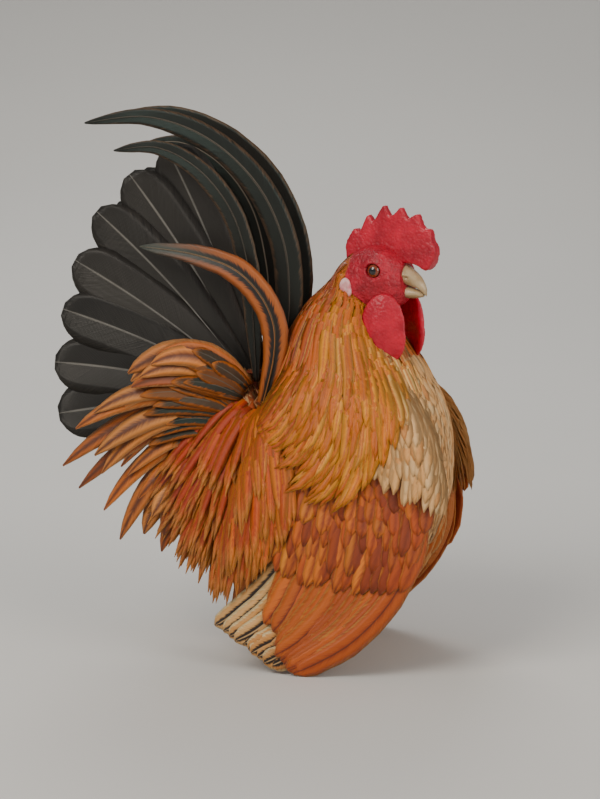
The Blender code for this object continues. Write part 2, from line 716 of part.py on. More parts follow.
def make_coverts(side, cutters):
    """The side hangers and tail coverts of one side, on a pad at the tail's root."""
    place = millimetres(HANGER_PAD[0], side * HANGER_PAD[1], HANGER_PAD[2])
    pad = make_ball(
        side_name("coverts", side), place, HANGER_PAD_SIZE, finish("bronze_hanger", (0.4, 0.17, 0.06), 0.6),
        side * 20, 12, 8)
    hangers = []
    for root, crest, tip, root_y, tip_y, half in HANGERS:
        points = []
        for s in span(0, 1, len(HANGER_SHAPE)):
            bend = 4 * s * (1 - s)
            lift = (crest[1] - (root[1] + tip[1]) / 2) * bend
            x = root[0] + (tip[0] - root[0]) * s + (crest[0] - (root[0] + tip[0]) / 2) * bend
            points.append(millimetres(x, side * (root_y + (tip_y - root_y) * s ** 0.7), root[1] + (tip[1] - root[1]) * s + lift))
        normal = Vector((0, side, 0.45)).normalized()
        mesh = vane("vane", points, [normal] * len(points), [half * wide for wide in HANGER_SHAPE], 1.1)
        hangers.append(add_object("vane", mesh))
    apply_boolean(pad, "UNION", hangers)
    apply_boolean(pad, "DIFFERENCE", [grown(cutter.data) for cutter in cutters])
    return pad


def make_wing(side, torso, neck):
    """The folded wing, drooped to the floor: a leaf laid on the torso's side, and its tiers of feathers."""
    first, last, front, rear = WING_CORE
    columns = span(front, rear, 7)
    rings = []
    for v in span(first, last, 8):
        inner = between(WING, v)[7]
        outer_face = [wing_point(v, u, side, -0.4)[0] for u in columns]
        inner_face = []
        for u in reversed(columns):
            lx, lz, ly, rx, rz, ry = between(WING, v)[:6]
            y = side * (ly + (ry - ly) * u - 0.8 - inner * (4 * u * (1 - u)) ** 0.6)
            inner_face.append(millimetres(lx + (rx - lx) * u, y, lz + (rz - lz) * u))
        rings.append(outer_face + inner_face)
    name = side_name("wing", side)
    wing = add_object(name, loft(name, rings), finish("chestnut_plumage", (0.42, 0.13, 0.03), 0.7))
    vanes = [obj for tier in WING_TIERS for obj in make_wing_tier(side, tier)]
    apply_boolean(wing, "UNION", vanes)
    apply_boolean(wing, "DIFFERENCE", [grown(torso.data), grown(neck.data), floor_slab()])
    return wing


def make_wing_tier(side, tier):
    """One tier of the wing's feathers, laid like roof tiles on the wing's outer face."""
    count, root_a, root_b, tip_a, tip_b, half, lift, lean = tier
    made = []
    for k in range(count):
        f = k / (count - 1)
        vary = math.sin(5.1 * k + 3.0 * half)
        root_v, root_u = [a + (b - a) * f for a, b in zip(root_a, root_b)]
        tip_v, tip_u = [a + (b - a) * f for a, b in zip(tip_a, tip_b)]
        bow = 4 * f * (1 - f)
        tip_v += 0.12 * vary + 0.35 * bow
        points = []
        normals = []
        for s, _ in WING_VANE_SHAPE:
            rise = -1.3 + (lift + 1.3) * min(1.0, s / 0.3) ** 0.7
            point, normal = wing_point(root_v + (tip_v - root_v) * s, root_u + (tip_u - root_u) * s ** 1.2, side, rise)
            points.append(point)
            normals.append((normal + Vector((math.tan(math.radians(lean)), 0, 0))).normalized())
        halves = [half * wide for _, wide in WING_VANE_SHAPE]
        made.append(add_object("vane", vane("vane", points, normals, halves)))
    return made


def neighbour_trees(objects):
    """Search trees of the objects' surfaces, for laying locks over them."""
    trees = []
    for obj in objects:
        shape = bmesh.new()
        shape.from_mesh(obj.data)
        trees.append(BVHTree.FromBMesh(shape))
        shape.free()
    return trees


def laid_over(point, outwards, trees, clear):
    """The point, or the place straight outwards from it that clears the surfaces in the trees."""
    reach = 60 * MM
    start = point + outwards * reach
    height = 0.0
    for tree in trees:
        hit, _, _, distance = tree.ray_cast(start, -outwards, reach + 15 * MM)
        if hit is not None:
            height = max(height, reach - distance + clear * MM)
    return point + outwards * height


def make_neck_hackle(neck, neighbours):
    """The cape of hackle locks, joined to the neck and draped over what lies below it."""
    trees = neighbour_trees(neighbours)
    locks = []
    for row, (root_t, count, share, half, lift) in enumerate(HACKLE_ROWS):
        for k in range(count):
            angle = 360 * (k + 0.5 * (row % 2)) / count - 180
            length = between(HACKLE_LENGTHS, abs(angle) / 30)[0] * share + 3 * math.sin(4.7 * k + 2.0 * row)
            locks.append(hackle_lock(root_t, angle, length * MM, half, lift + 1.4 * (k % 2), trees))
    apply_boolean(neck, "UNION", locks)
    cut_clear(neck, neighbours)


def hackle_lock(root_t, angle, length, half, lift, trees):
    """One lock, from its root down the body, square to the surface that it lies on."""
    t = root_t
    travelled = 0.0
    line = [(0.0, t)]
    while travelled < length:
        here = body_point(t, angle)[0]
        t -= 0.05
        travelled += (body_point(t, angle)[0] - here).length
        line.append((travelled, t))
    points = []
    normals = []
    for s, _ in HACKLE_SHAPE:
        place = next((t for gone, t in line if gone >= s * length), t)
        rise = -1.6 + (lift + 1.6) * min(1.0, s / 0.35)
        point, normal = body_point(place, angle)
        if s > 0:
            point = laid_over(point, normal, trees, LOCK_CLEAR)
        point = point + normal * rise * MM
        points.append(point)
        normals.append(normal)
    halves = [half * wide for _, wide in HACKLE_SHAPE]
    return add_object("lock", vane("lock", points, normals, halves, 1.0))


def make_saddle(torso, wings, coverts, tail):
    """The saddle's long locks, joined to the back and draped over the wings."""
    locks = []
    for side, wing, covert in zip((RIGHT, LEFT), wings, coverts):
        trees = neighbour_trees([torso, wing, covert])
        for tier, (count, root_a, root_b, tips, half, swell) in enumerate(SADDLE_TIERS):
            for k in range(count):
                f = k / (count - 1)
                root_t, angle = [a + (b - a) * f for a, b in zip(root_a, root_b)]
                start = body_point(root_t, side * angle, -2.0)[0]
                tip = between(tips, 2 * f)
                tip[2] += 4 * math.sin(3.9 * k + tier)
                locks.append(saddle_lock(side, start, tip, half, swell, 1.5 * (k % 2) + 3.4 * tier, trees))
    apply_boolean(torso, "UNION", locks)
    cut_clear(torso, wings + coverts + [tail])


def saddle_lock(side, start, tip, half, swell, height, trees):
    """One saddle lock that leaves the back, swells out over the flank and hangs to its tip."""
    end = millimetres(tip[0], side * tip[1], tip[2])
    middle = start.lerp(end, 0.45) + Vector((0, side * swell, 0.8 * swell)) * MM
    outwards = Vector((0, side, 0.25)).normalized()
    points = []
    for s, _ in SADDLE_SHAPE:
        point = start * (1 - s) ** 2 + middle * 2 * s * (1 - s) + end * s ** 2
        if s > 0.1:
            point = laid_over(point, outwards, trees, LOCK_CLEAR) + outwards * height * min(1.0, s / 0.3) * MM
        points.append(point)
    normals = []
    last = len(points) - 1
    for i in range(len(points)):
        along = points[min(i + 1, last)] - points[max(i - 1, 0)]
        normals.append((outwards - along * outwards.dot(along) / along.length_squared).normalized())
    halves = [half * wide for _, wide in SADDLE_SHAPE]
    return add_object("lock", vane("lock", points, normals, halves, 1.0))


def mirrored(obj, name):
    """The same piece for the bird's other side."""
    mesh = obj.data.copy()
    mesh.transform(Matrix.Scale(-1, 4, (0, 1, 0)))
    mesh.flip_normals()
    other = bpy.data.objects.new(name, mesh)
    obj.users_collection[0].objects.link(other)
    return other


def level_soles(collection):
    """Brings whatever ends a hair's breadth over or under the soles to their level."""
    floor = min(vert.co.z for vert in bpy.data.objects["leg_right"].data.vertices)
    for obj in collection.objects:
        for vert in obj.data.vertices:
            if vert.co.z < floor + SOLE_SLACK * MM:
                vert.co.z = floor


def settle(collection):
    """Moves the bird so that the middle of its box stands over the origin, on the floor."""
    places = [obj.matrix_world @ vert.co for obj in collection.objects for vert in obj.data.vertices]
    low = Vector([min(p[k] for p in places) for k in range(3)])
    high = Vector([max(p[k] for p in places) for k in range(3)])
    shift = Matrix.Translation((-(low.x + high.x) / 2, -(low.y + high.y) / 2, -low.z))
    for obj in collection.objects:
        obj.data.transform(shift)


def build():
    clear_scene()
    collection = bpy.data.collections.new("bantam")
    bpy.context.scene.collection.children.link(collection)
    torso = make_torso()
    neck = make_neck()
    head = make_head(neck)
    nostrils = [make_ball("cutter", head_place(NOSTRIL, side), (1.6, 1.2, 0.8), None, 0, 8, 6) for side in (RIGHT, LEFT)]
    upper = make_beak("beak_upper", UPPER_BEAK, head, nostrils)
    lower = make_beak("beak_lower", LOWER_BEAK, head, [])
    make_comb(head, upper)
    wings = [make_wing(side, torso, neck) for side in (RIGHT, LEFT)]
    for side, wing in zip((RIGHT, LEFT), wings):
        make_leg(side, [torso, wing])
        make_earlobe(side, head)
    tail = make_tail(torso)
    coverts = [make_coverts(RIGHT, [torso, tail, wings[0]])]
    coverts.append(mirrored(coverts[0], "coverts_left"))
    make_saddle(torso, wings, coverts, tail)
    make_neck_hackle(neck, [torso] + wings)
    thin_out(neck)
    for side, covert in zip((RIGHT, LEFT), coverts):
        make_wattle(side, [head, lower, neck])
        inside = [torso, tail, neck, covert]
        for name in SICKLES:
            inside.append(make_sickle(name, side, inside))
    for obj in collection.objects:
        thin_out(obj)
    level_soles(collection)
    settle(collection)


build()
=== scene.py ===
import math

import bmesh
import bpy
import numpy as np
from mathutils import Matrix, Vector
from mathutils.bvhtree import BVHTree


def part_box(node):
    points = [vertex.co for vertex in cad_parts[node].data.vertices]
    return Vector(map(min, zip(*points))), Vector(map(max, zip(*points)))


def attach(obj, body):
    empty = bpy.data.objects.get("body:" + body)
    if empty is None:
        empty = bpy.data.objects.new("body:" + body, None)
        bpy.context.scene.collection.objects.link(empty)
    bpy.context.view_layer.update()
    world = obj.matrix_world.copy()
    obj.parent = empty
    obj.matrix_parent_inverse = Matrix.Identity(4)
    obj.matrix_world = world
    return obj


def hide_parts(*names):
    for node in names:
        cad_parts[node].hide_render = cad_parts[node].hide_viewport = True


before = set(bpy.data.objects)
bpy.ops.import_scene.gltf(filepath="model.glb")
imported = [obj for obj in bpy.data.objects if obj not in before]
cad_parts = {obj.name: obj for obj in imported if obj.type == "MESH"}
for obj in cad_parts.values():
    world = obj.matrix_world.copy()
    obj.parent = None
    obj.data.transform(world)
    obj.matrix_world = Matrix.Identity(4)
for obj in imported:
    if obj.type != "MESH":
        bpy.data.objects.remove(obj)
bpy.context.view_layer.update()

# The place it stands in: a pale painted floor that runs back out of sight,
# with large soft lamps over it, and the camera a little over the back's height.

MM = 0.001

def colour(code):
    """The linear colour of an sRGB hex code, with alpha."""
    parts = [int(code[k:k + 2], 16) / 255 for k in (1, 3, 5)]
    return (*[p / 12.92 if p <= 0.04045 else ((p + 0.055) / 1.055) ** 2.4 for p in parts], 1.0)


def add_node(material, kind, inputs=None, **settings):
    """One more node, its settings made and each input given a value or linked."""
    made = material.node_tree.nodes.new(kind)
    for key, value in settings.items():
        setattr(made, key, value)
    for key, value in (inputs or {}).items():
        if isinstance(value, bpy.types.NodeSocket):
            material.node_tree.links.new(value, made.inputs[key])
        else:
            made.inputs[key].default_value = value
    return made


def new_material(name):
    """An empty material with its Principled shader."""
    made = bpy.data.materials.new(name)
    made.use_nodes = True
    return made, made.node_tree.nodes["Principled BSDF"]


def set_inputs(material, shader, **inputs):
    """Sets the shader's inputs, named with _ for a space, to a value or a link."""
    for key, value in inputs.items():
        socket = shader.inputs[key.replace("_", " ")]
        if isinstance(value, bpy.types.NodeSocket):
            material.node_tree.links.new(value, socket)
        else:
            socket.default_value = value


# Matt emulsion paint on board: pale and even, with a faint roller mottle.
floor_paint, shader = new_material("matt_emulsion_paint")
mottle = add_node(floor_paint, "ShaderNodeTexNoise", {"Scale": 9.0, "Detail": 3.0})
tone = add_node(floor_paint, "ShaderNodeValToRGB", {"Fac": mottle.outputs["Fac"]})
tone.color_ramp.elements[0].color = colour("#c9c6c0")
tone.color_ramp.elements[1].color = colour("#d4d1cb")
set_inputs(floor_paint, shader, Base_Color=tone.outputs["Color"], Roughness=0.85)

floor_mesh = bpy.data.meshes.new("floor")
sweep = [(-3, 0), (-1.5, 0), (0.5, 0), (0.9, 0), (1.3, 0), (1.7, 0.08), (2.1, 0.35), (2.3, 0.8), (2.35, 2.6)]
floor_mesh.from_pydata(
    [(x, y, z) for y, z in sweep for x in (-4, 4)], [],
    [(2 * k, 2 * k + 1, 2 * k + 3, 2 * k + 2) for k in range(len(sweep) - 1)])
floor = bpy.data.objects.new("floor", floor_mesh)
floor.rotation_euler = (0, 0, math.radians(15))
floor.data.materials.append(floor_paint)
for face in floor_mesh.polygons:
    face.use_smooth = True
bpy.context.scene.collection.objects.link(floor)
bend = floor.modifiers.new("bend", "SUBSURF")
bend.levels = bend.render_levels = 3

LAMPS = [
    ("window_lamp", (-0.7, -1.3, 1.5), 1.0, 27.0, "#fffaf2"),
    ("side_lamp", (1.5, -0.9, 0.8), 1.0, 15.0, "#fff8f0"),
    ("back_lamp", (-0.5, 1.3, 1.3), 0.8, 12.0, "#ffffff"),
]
for name, place, size, power, hue in LAMPS:
    light = bpy.data.lights.new(name, "AREA")
    light.size = size
    light.energy = power
    light.color = colour(hue)[:3]
    lamp = bpy.data.objects.new(name, light)
    lamp.location = place
    lamp.rotation_euler = (Vector((0, 0, 0.15)) - Vector(place)).to_track_quat("-Z", "Y").to_euler()
    bpy.context.scene.collection.objects.link(lamp)

sky = bpy.data.worlds.new("studio")
sky.use_nodes = True
sky.node_tree.nodes["Background"].inputs["Color"].default_value = colour("#dfe3e8")
sky.node_tree.nodes["Background"].inputs["Strength"].default_value = 0.5
bpy.context.scene.world = sky

# The bird's parts are placed by its own measures, in millimetres from under its middle, which the eye's place
# tells.
EYE = (22, 13.2, 227)
EYE_RADIUS = 4.9
HEAD_TURN = -20
HEAD_PIVOT = np.array((5.0, 0.0, 0.0))


def turned(points, share=1.0):
    """Points of the head in millimetres, given straight ahead, where its turn to the right takes them."""
    angle = np.radians(HEAD_TURN) * np.asarray(share)
    x, y, z = np.moveaxis(np.asarray(points, float) - HEAD_PIVOT, -1, 0)
    c, s = np.cos(angle), np.sin(angle)
    return np.stack([c * x - s * y, s * x + c * y, z], -1) + HEAD_PIVOT


low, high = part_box("eye_right")
SHIFT = np.array((low + high) / 2) - turned((EYE[0], -EYE[1], EYE[2])) * MM
SHIFT[2] = 0.0


def settled(points):
    """Points in millimetres as metres in the model's frame."""
    return np.asarray(points, float) * MM + SHIFT


CAMERA_WAY = (15, 10)
CAMERA_FAR = 1.4
lens = bpy.data.cameras.new("camera")
lens.lens = 108.5
lens.sensor_width = 36
camera = bpy.data.objects.new("camera", lens)
turn, rise = map(math.radians, CAMERA_WAY)
back = Vector((math.sin(turn) * math.cos(rise), -math.cos(turn) * math.cos(rise), math.sin(rise)))
camera.location = Vector(settled((-32.02, 0, 147.96))) + back * CAMERA_FAR
camera.rotation_mode = "QUATERNION"
camera.rotation_quaternion = (-back).to_track_quat("-Z", "Y")
bpy.context.scene.collection.objects.link(camera)
bpy.context.scene.camera = camera

# The skin: one hide over body, neck and head, tan under the coat and
# bare, red and pebbled on the face. It lies inside the plumage by its depth.

# From the tail's root to the beak: the back's x and z, the belly's or throat's x and z, the half width, and
# how far down the widest place is.
TRUNK = [
    (-70, 166, -76, 146, 9, 0.50), (-62, 163, -79, 124, 20, 0.50), (-55, 157, -78, 98, 32, 0.50),
    (-50, 153, -68, 70, 43, 0.52), (-47, 152, -44, 47, 50, 0.55), (-45, 154, -12, 37, 52, 0.57),
    (-44, 158, 18, 42, 53, 0.58), (-43, 163, 41, 62, 51, 0.58), (-41, 170, 54, 90, 47, 0.58),
    (-38, 178, 57, 120, 42, 0.56), (-35, 187, 53, 146, 36, 0.54), (-30, 196, 42, 168, 30, 0.52),
    (-23, 206, 31, 186, 23, 0.50), (-14, 216, 24, 200, 17.5, 0.50),
    (-6, 227, 22, 203, 17, 0.50), (4, 236, 26, 204, 16, 0.50), (15, 240, 29, 206, 15, 0.50),
    (24, 239, 32, 208, 13.5, 0.50), (30.5, 235, 34.5, 211, 10.5, 0.50), (34.5, 231, 36.5, 213, 8, 0.50),
]
FULLNESS = 0.88
# Where the bare face begins along TRUNK, by the angle from the back.
FACE_EDGE = ((0, 14.9), (50, 14.7), (75, 13.95), (110, 13.65), (180, 13.5))
SKIN_RINGS = 210
SKIN_SIDES = 128


def rows_at(rows, t):
    """A table's row at each place t, along a smooth curve through its rows."""
    rows = np.asarray(rows, float)
    t = np.asarray(t, float)
    i = np.clip(np.floor(t).astype(int), 0, len(rows) - 2)
    f = (t - i)[..., None]
    a, b, c, d = (rows[np.clip(i + k, 0, len(rows) - 1)] for k in (-1, 0, 1, 2))
    return b + 0.5 * f * (c - a + f * (2 * a - 5 * b + 4 * c - d + f * (3 * (b - c) + d - a)))


def smooth(low, high, x):
    """0 under low, 1 over high, and an even rise between."""
    f = np.clip((np.asarray(x, float) - low) / (high - low), 0, 1)
    return f * f * (3 - 2 * f)


def trunk_place(t, angle):
    """Points on the bird in metres: t along TRUNK, angle in degrees from back to belly, left if positive."""
    t, angle = np.broadcast_arrays(np.asarray(t, float), np.asarray(angle, float))
    back_x, back_z, belly_x, belly_z, half, widest = np.moveaxis(rows_at(TRUNK, t), -1, 0)
    c, s = np.cos(np.radians(angle)), np.sin(np.radians(angle))
    up = np.sign(c) * np.abs(c) ** FULLNESS
    out = np.sign(s) * np.abs(s) ** FULLNESS
    mid_x, mid_z = back_x + (belly_x - back_x) * widest, back_z + (belly_z - back_z) * widest
    x = mid_x + np.where(c >= 0, (back_x - mid_x) * up, (belly_x - mid_x) * -up)
    z = mid_z + np.where(c >= 0, (back_z - mid_z) * up, (belly_z - mid_z) * -up)
    return settled(turned(np.stack([x, half * out, z], -1), smooth(12.6, 14.3, t)))


def unit(vectors):
    return vectors / np.maximum(np.linalg.norm(vectors, axis=-1, keepdims=True), 1e-12)


def outward(place, t, angle, along=0.05, round_by=2.0):
    """The unit normal of a surface that place(t, angle) gives."""
    ahead = place(t + along, angle) - place(t - along, angle)
    side = place(t, angle + round_by) - place(t, angle - round_by)
    return unit(np.cross(ahead, side))


def quad_mesh(name, points, quads, uvs=None, lots=None, smooth_faces=True):
    """A mesh from arrays of points and quads, with UV maps and a colour attribute given point by point."""
    mesh = bpy.data.meshes.new(name)
    points, quads = np.asarray(points, np.float32).reshape(-1, 3), np.asarray(quads, np.int32).reshape(-1, 4)
    mesh.vertices.add(len(points))
    mesh.vertices.foreach_set("co", points.ravel())
    mesh.loops.add(quads.size)
    mesh.loops.foreach_set("vertex_index", quads.ravel())
    mesh.polygons.add(len(quads))
    mesh.polygons.foreach_set("loop_start", np.arange(0, quads.size, 4, dtype=np.int32))
    mesh.polygons.foreach_set("use_smooth", np.full(len(quads), smooth_faces))
    mesh.update(calc_edges=True)
    for key, values in (uvs or {}).items():
        layer = mesh.uv_layers.new(name=key)
        layer.data.foreach_set("uv", np.asarray(values, np.float32).reshape(-1, 2)[quads.ravel()].ravel())
    if lots is not None:
        layer = mesh.color_attributes.new("Lot", "FLOAT_COLOR", "POINT")
        layer.data.foreach_set("color", np.asarray(lots, np.float32).ravel())
    return mesh


def grid_quads(rows, columns, start=0, closed=True):
    """The quads between rows of points, each row a ring if closed."""
    r, k = np.meshgrid(np.arange(rows - 1), np.arange(columns if closed else columns - 1), indexing="ij")
    n = (k + 1) % columns
    return np.stack(
        [r * columns + k, (r + 1) * columns + k, (r + 1) * columns + n, r * columns + n],
        -1).reshape(-1, 4) + start


def add_piece(name, mesh, material, slot, *nodes):
    """Puts one piece in the model: what it is made of, what it rides on and the solids that it stands for."""
    piece = bpy.data.objects.new(name, mesh)
    bpy.context.scene.collection.objects.link(piece)
    if material is not None:
        mesh.materials.append(material)
    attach(piece, "root")
    if nodes:
        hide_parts(*nodes)
    return piece


def skin_uv(t, angle):
    """The place on the hide's own unwrap, for the hide and for each feather that grows from it."""
    t, angle = np.broadcast_arrays(np.asarray(t, float), np.asarray(angle, float))
    return np.stack([0.02 + 0.56 * (angle + 180) / 360, 0.02 + 0.96 * np.clip(t, 0, 19) / 19], -1)


def face_relief(points, side):
    """How far the face stands out round the eye, over it and on the cheek, less the eye's socket, in mm."""
    eye = settled(turned((EYE[0], side * EYE[1], EYE[2])))
    away = (points - eye) / MM
    flat = np.linalg.norm(away * (1, 0.6, 1), axis=-1)
    orbit = 2.0 * np.exp(-(flat / 6.5) ** 2)
    brow = settled(turned((EYE[0] + 1, side * 12, EYE[2] + 7.5)))
    ridge = 0.9 * np.exp(-(np.linalg.norm((points - brow) / MM * (0.5, 0.7, 1.4), axis=-1) / 4) ** 2)
    cheek = settled(turned((14, side * 14, 212)))
    pad = 1.6 * np.exp(-(np.linalg.norm((points - cheek) / MM, axis=-1) / 8) ** 2)
    socket = 4.5 * (1 - smooth(3.9, 5.0, np.linalg.norm(away * (1, 0.25, 1.1), axis=-1)))
    return orbit + ridge + pad - socket


ring_t = np.concatenate([np.linspace(0, 12.4, 96), np.linspace(12.5, 19, SKIN_RINGS - 96)])
ring_angle = np.linspace(-180, 180, SKIN_SIDES + 1)
grid_t, grid_angle = np.meshgrid(ring_t, ring_angle, indexing="ij")
skin_points = trunk_place(grid_t, grid_angle)
skin_out = outward(trunk_place, grid_t, grid_angle)
depth = 4.5 * (1 - smooth(12.7, 13.9, grid_t)) - 0.6 * smooth(13.5, 15, grid_t)
face_edge = np.interp(np.abs(grid_angle), *zip(*FACE_EDGE))
relief = face_relief(skin_points, -1) + face_relief(skin_points, 1)
relief = relief * smooth(14.2, 15.5, grid_t) * (1 - smooth(17.8, 18.8, grid_t))
skin_points = skin_points - skin_out * (depth - relief)[..., None] * MM
rows, columns = skin_points.shape[:2]
tail_cap = skin_points[0].mean(0)
beak_cap = skin_points[-1].mean(0)
skin_quads = [grid_quads(rows, columns, closed=False)]
skin_all = [skin_points.reshape(-1, 3)]
skin_uvs = [skin_uv(grid_t, grid_angle).reshape(-1, 2)]
skin_lots = [
    np.stack(
        [
            grid_t / 19, np.abs(grid_angle) / 180, smooth(-0.12, 0.12, grid_t - face_edge),
            np.ones_like(grid_t)], -1).reshape(-1, 4)]
for ring, cap, t in ((0, tail_cap, 0.0), (rows - 1, beak_cap, 19.0)):
    start = sum(len(p) for p in skin_all)
    inner = skin_points[ring] * 0.5 + cap * 0.5
    middle = skin_points[ring] * 0.02 + cap * 0.98
    skin_all.append(np.concatenate([skin_points[ring], inner, middle]))
    quads = grid_quads(3, columns, start, closed=False)
    skin_quads.append(quads if ring else quads[:, ::-1])
    skin_uvs.append(np.tile(skin_uv(np.full(columns, t), ring_angle), (3, 1)))
    skin_lots.append(np.tile((t / 19, 0.5, float(t > 1), 1.0), (3 * columns, 1)))

# The lids: a soft fold round each eye, tight on the ball, with finer folds about it.
LID_PROFILE = [
    (10.0, -1.0), (8.4, 0.5), (7.3, 1.6), (6.3, 2.3), (5.5, 2.8), (4.9, 2.85), (4.4, 2.3), (4.2, 1.2)]
LID_SIDES = 48
for side in (-1, 1):
    centre = np.array((EYE[0], side * EYE[1], EYE[2]))
    around = np.linspace(0, 2 * np.pi, LID_SIDES + 1)
    lid = []
    for number, (reach, rise) in enumerate(LID_PROFILE):
        fold = 0.14 * np.sin(around * 9 + number * 2.1) * (0 < number < 6)
        wide, high_by = reach * (1.0 + 0.05 * (number > 3)), reach * (1.0 - 0.1 * (number > 3))
        lean = 0.12 * wide * np.cos(around)
        lid.append(centre + np.stack([
            wide * np.cos(around), side * (rise - lean + fold), high_by * np.sin(around)], -1))
    start = sum(len(p) for p in skin_all)
    skin_all.append(settled(turned(np.array(lid))).reshape(-1, 3))
    quads = grid_quads(len(LID_PROFILE), LID_SIDES + 1, start, closed=False)
    skin_quads.append(quads if side < 0 else quads[:, ::-1])
    skin_uvs.append(np.tile(skin_uv(17.0, side * 60.0), (len(LID_PROFILE) * (LID_SIDES + 1), 1)))
    skin_lots.append(np.tile((17 / 19, 0.35, 1.0, 1.0), (len(LID_PROFILE) * (LID_SIDES + 1), 1)))

# Living skin: tan where feathers cover it, and on the face crimson, waxy and set with fine papillae, with
# painted shade darkening the gaps between them.
hide, shader = new_material("bare_skin")
lot = add_node(hide, "ShaderNodeAttribute", attribute_name="Lot")
parts = add_node(hide, "ShaderNodeSeparateColor", {"Color": lot.outputs["Color"]})
where = add_node(hide, "ShaderNodeTexCoord")
warp = add_node(
    hide, "ShaderNodeTexNoise", {"Vector": where.outputs["Object"], "Scale": 160.0, "Detail": 4.0})
papillae = add_node(hide, "ShaderNodeTexVoronoi", {"Vector": where.outputs["Object"], "Scale": 900.0})
creases = add_node(
    hide, "ShaderNodeTexVoronoi", {"Vector": where.outputs["Object"], "Scale": 330.0},
    feature="DISTANCE_TO_EDGE")
flush = add_node(hide, "ShaderNodeValToRGB", {"Fac": warp.outputs["Fac"]})
flush.color_ramp.elements[0].position, flush.color_ramp.elements[1].position = 0.3, 0.72
flush.color_ramp.elements[0].color = colour("#98041c")
flush.color_ramp.elements[1].color = colour("#cc1030")
# Painted shade: the face's colour darkens towards the sunken gaps between the papillae.
painted_pit_shade = add_node(
    hide, "ShaderNodeMapRange", {"Value": papillae.outputs["Distance"], 1: 0.0, 2: 0.6, 3: 1.0, 4: 0.78})
shaded = add_node(
    hide, "ShaderNodeMix", {"Factor": 1.0, 6: flush.outputs["Color"], 7: painted_pit_shade.outputs["Result"]},
    data_type="RGBA", blend_type="MULTIPLY")
under = add_node(
    hide, "ShaderNodeMix", {"Factor": parts.outputs["Blue"], 6: colour("#a85c20"), 7: shaded.outputs[2]},
    data_type="RGBA")
fold_bump = add_node(
    hide, "ShaderNodeBump", {"Height": creases.outputs["Distance"], "Strength": 0.9, "Distance": 0.0009})
skin_bump = add_node(
    hide, "ShaderNodeBump",
    {
        "Height": papillae.outputs["Distance"], "Strength": 0.55, "Distance": 0.0003,
        "Normal": fold_bump.outputs["Normal"]}, invert=True)
set_inputs(
    hide, shader, Base_Color=under.outputs[2], Roughness=0.48, Subsurface_Weight=0.12,
    Subsurface_Radius=(0.6, 0.2, 0.15), Subsurface_Scale=0.002, Normal=skin_bump.outputs["Normal"])

skin_mesh = quad_mesh(
    "skin", np.concatenate(skin_all), np.concatenate(skin_quads), {"OFBake": np.concatenate(skin_uvs)},
    np.concatenate(skin_lots))
add_piece("skin", skin_mesh, hide, "bare_skin", "head")

# The eyes: wet domed balls with a dark pupil in a burnt orange iris, set deep
# in the orbit behind the lids.

EYE_SLOPE = 8


def eye_ball(side):
    """One eye's ball and, for each point, how far it is from the pupil's middle and which way round."""
    rings, columns = 44, 64
    polar, around = np.meshgrid(np.linspace(0, 180, rings), np.linspace(0, 360, columns + 1), indexing="ij")
    reach = EYE_RADIUS * (1 + 0.07 * np.exp(-(polar / 28) ** 2))
    p, a = np.radians(polar), np.radians(around)
    ball = np.stack([np.sin(p) * np.cos(a), side * np.cos(p), np.sin(p) * np.sin(a)], -1) * reach[..., None]
    slope = math.radians(EYE_SLOPE) * side
    x, y, z = np.moveaxis(ball, -1, 0)
    ball = np.stack(
        [x * math.cos(slope) + y * math.sin(slope), -x * math.sin(slope) + y * math.cos(slope), z], -1)
    points = settled(turned(ball + (EYE[0], side * (EYE[1] - 1.0), EYE[2])))
    return points, np.stack([polar / 180, around / 360], -1)


# The cornea and iris: glass-smooth and wet, the iris grained from the pupil outwards and dark at its rim.
wet_eye, shader = new_material("wet_cornea_and_iris")
iris_map = add_node(wet_eye, "ShaderNodeUVMap", uv_map="Iris")
iris_parts = add_node(wet_eye, "ShaderNodeSeparateXYZ", {"Vector": iris_map.outputs["UV"]})
grain_place = add_node(
    wet_eye, "ShaderNodeVectorMath", {0: iris_map.outputs["UV"], 1: (5.0, 60.0, 1.0)}, operation="MULTIPLY")
grain = add_node(
    wet_eye, "ShaderNodeTexNoise", {"Vector": grain_place.outputs["Vector"], "Scale": 1.0, "Detail": 3.0})
shifted = add_node(
    wet_eye, "ShaderNodeMath", {0: grain.outputs["Fac"], 1: 0.05, 2: iris_parts.outputs["X"]},
    operation="MULTIPLY_ADD")
iris = add_node(wet_eye, "ShaderNodeValToRGB", {"Fac": shifted.outputs["Value"]})
ramp = iris.color_ramp
ramp.elements[0].position, ramp.elements[0].color = 0.145, colour("#060404")
ramp.elements[1].position, ramp.elements[1].color = 0.165, colour("#5a2206")
for position, code in ((0.22, "#85340a"), (0.275, "#642407"), (0.31, "#1c0a05"), (0.4, "#120806")):
    stop = ramp.elements.new(position)
    stop.color = colour(code)
set_inputs(
    wet_eye, shader, Base_Color=iris.outputs["Color"], Roughness=0.06, Coat_Weight=1.0, Coat_Roughness=0.03,
    IOR=1.38)

for side, name in ((-1, "eye_right"), (1, "eye_left")):
    points, iris_uv = eye_ball(side)
    quads = grid_quads(*points.shape[:2], closed=False)
    uvs = {"OFBake": np.clip(iris_uv, 0.002, 0.998), "Iris": iris_uv}
    mesh = quad_mesh(name + "_ball", points, quads if side < 0 else quads[:, ::-1], uvs)
    add_piece(name + "_ball", mesh, wet_eye, "eye", name)

# The beak: two horn sheaths that close on one mouth line, the upper one hooked
# over the lower, with a slit nostril under a swollen flap.

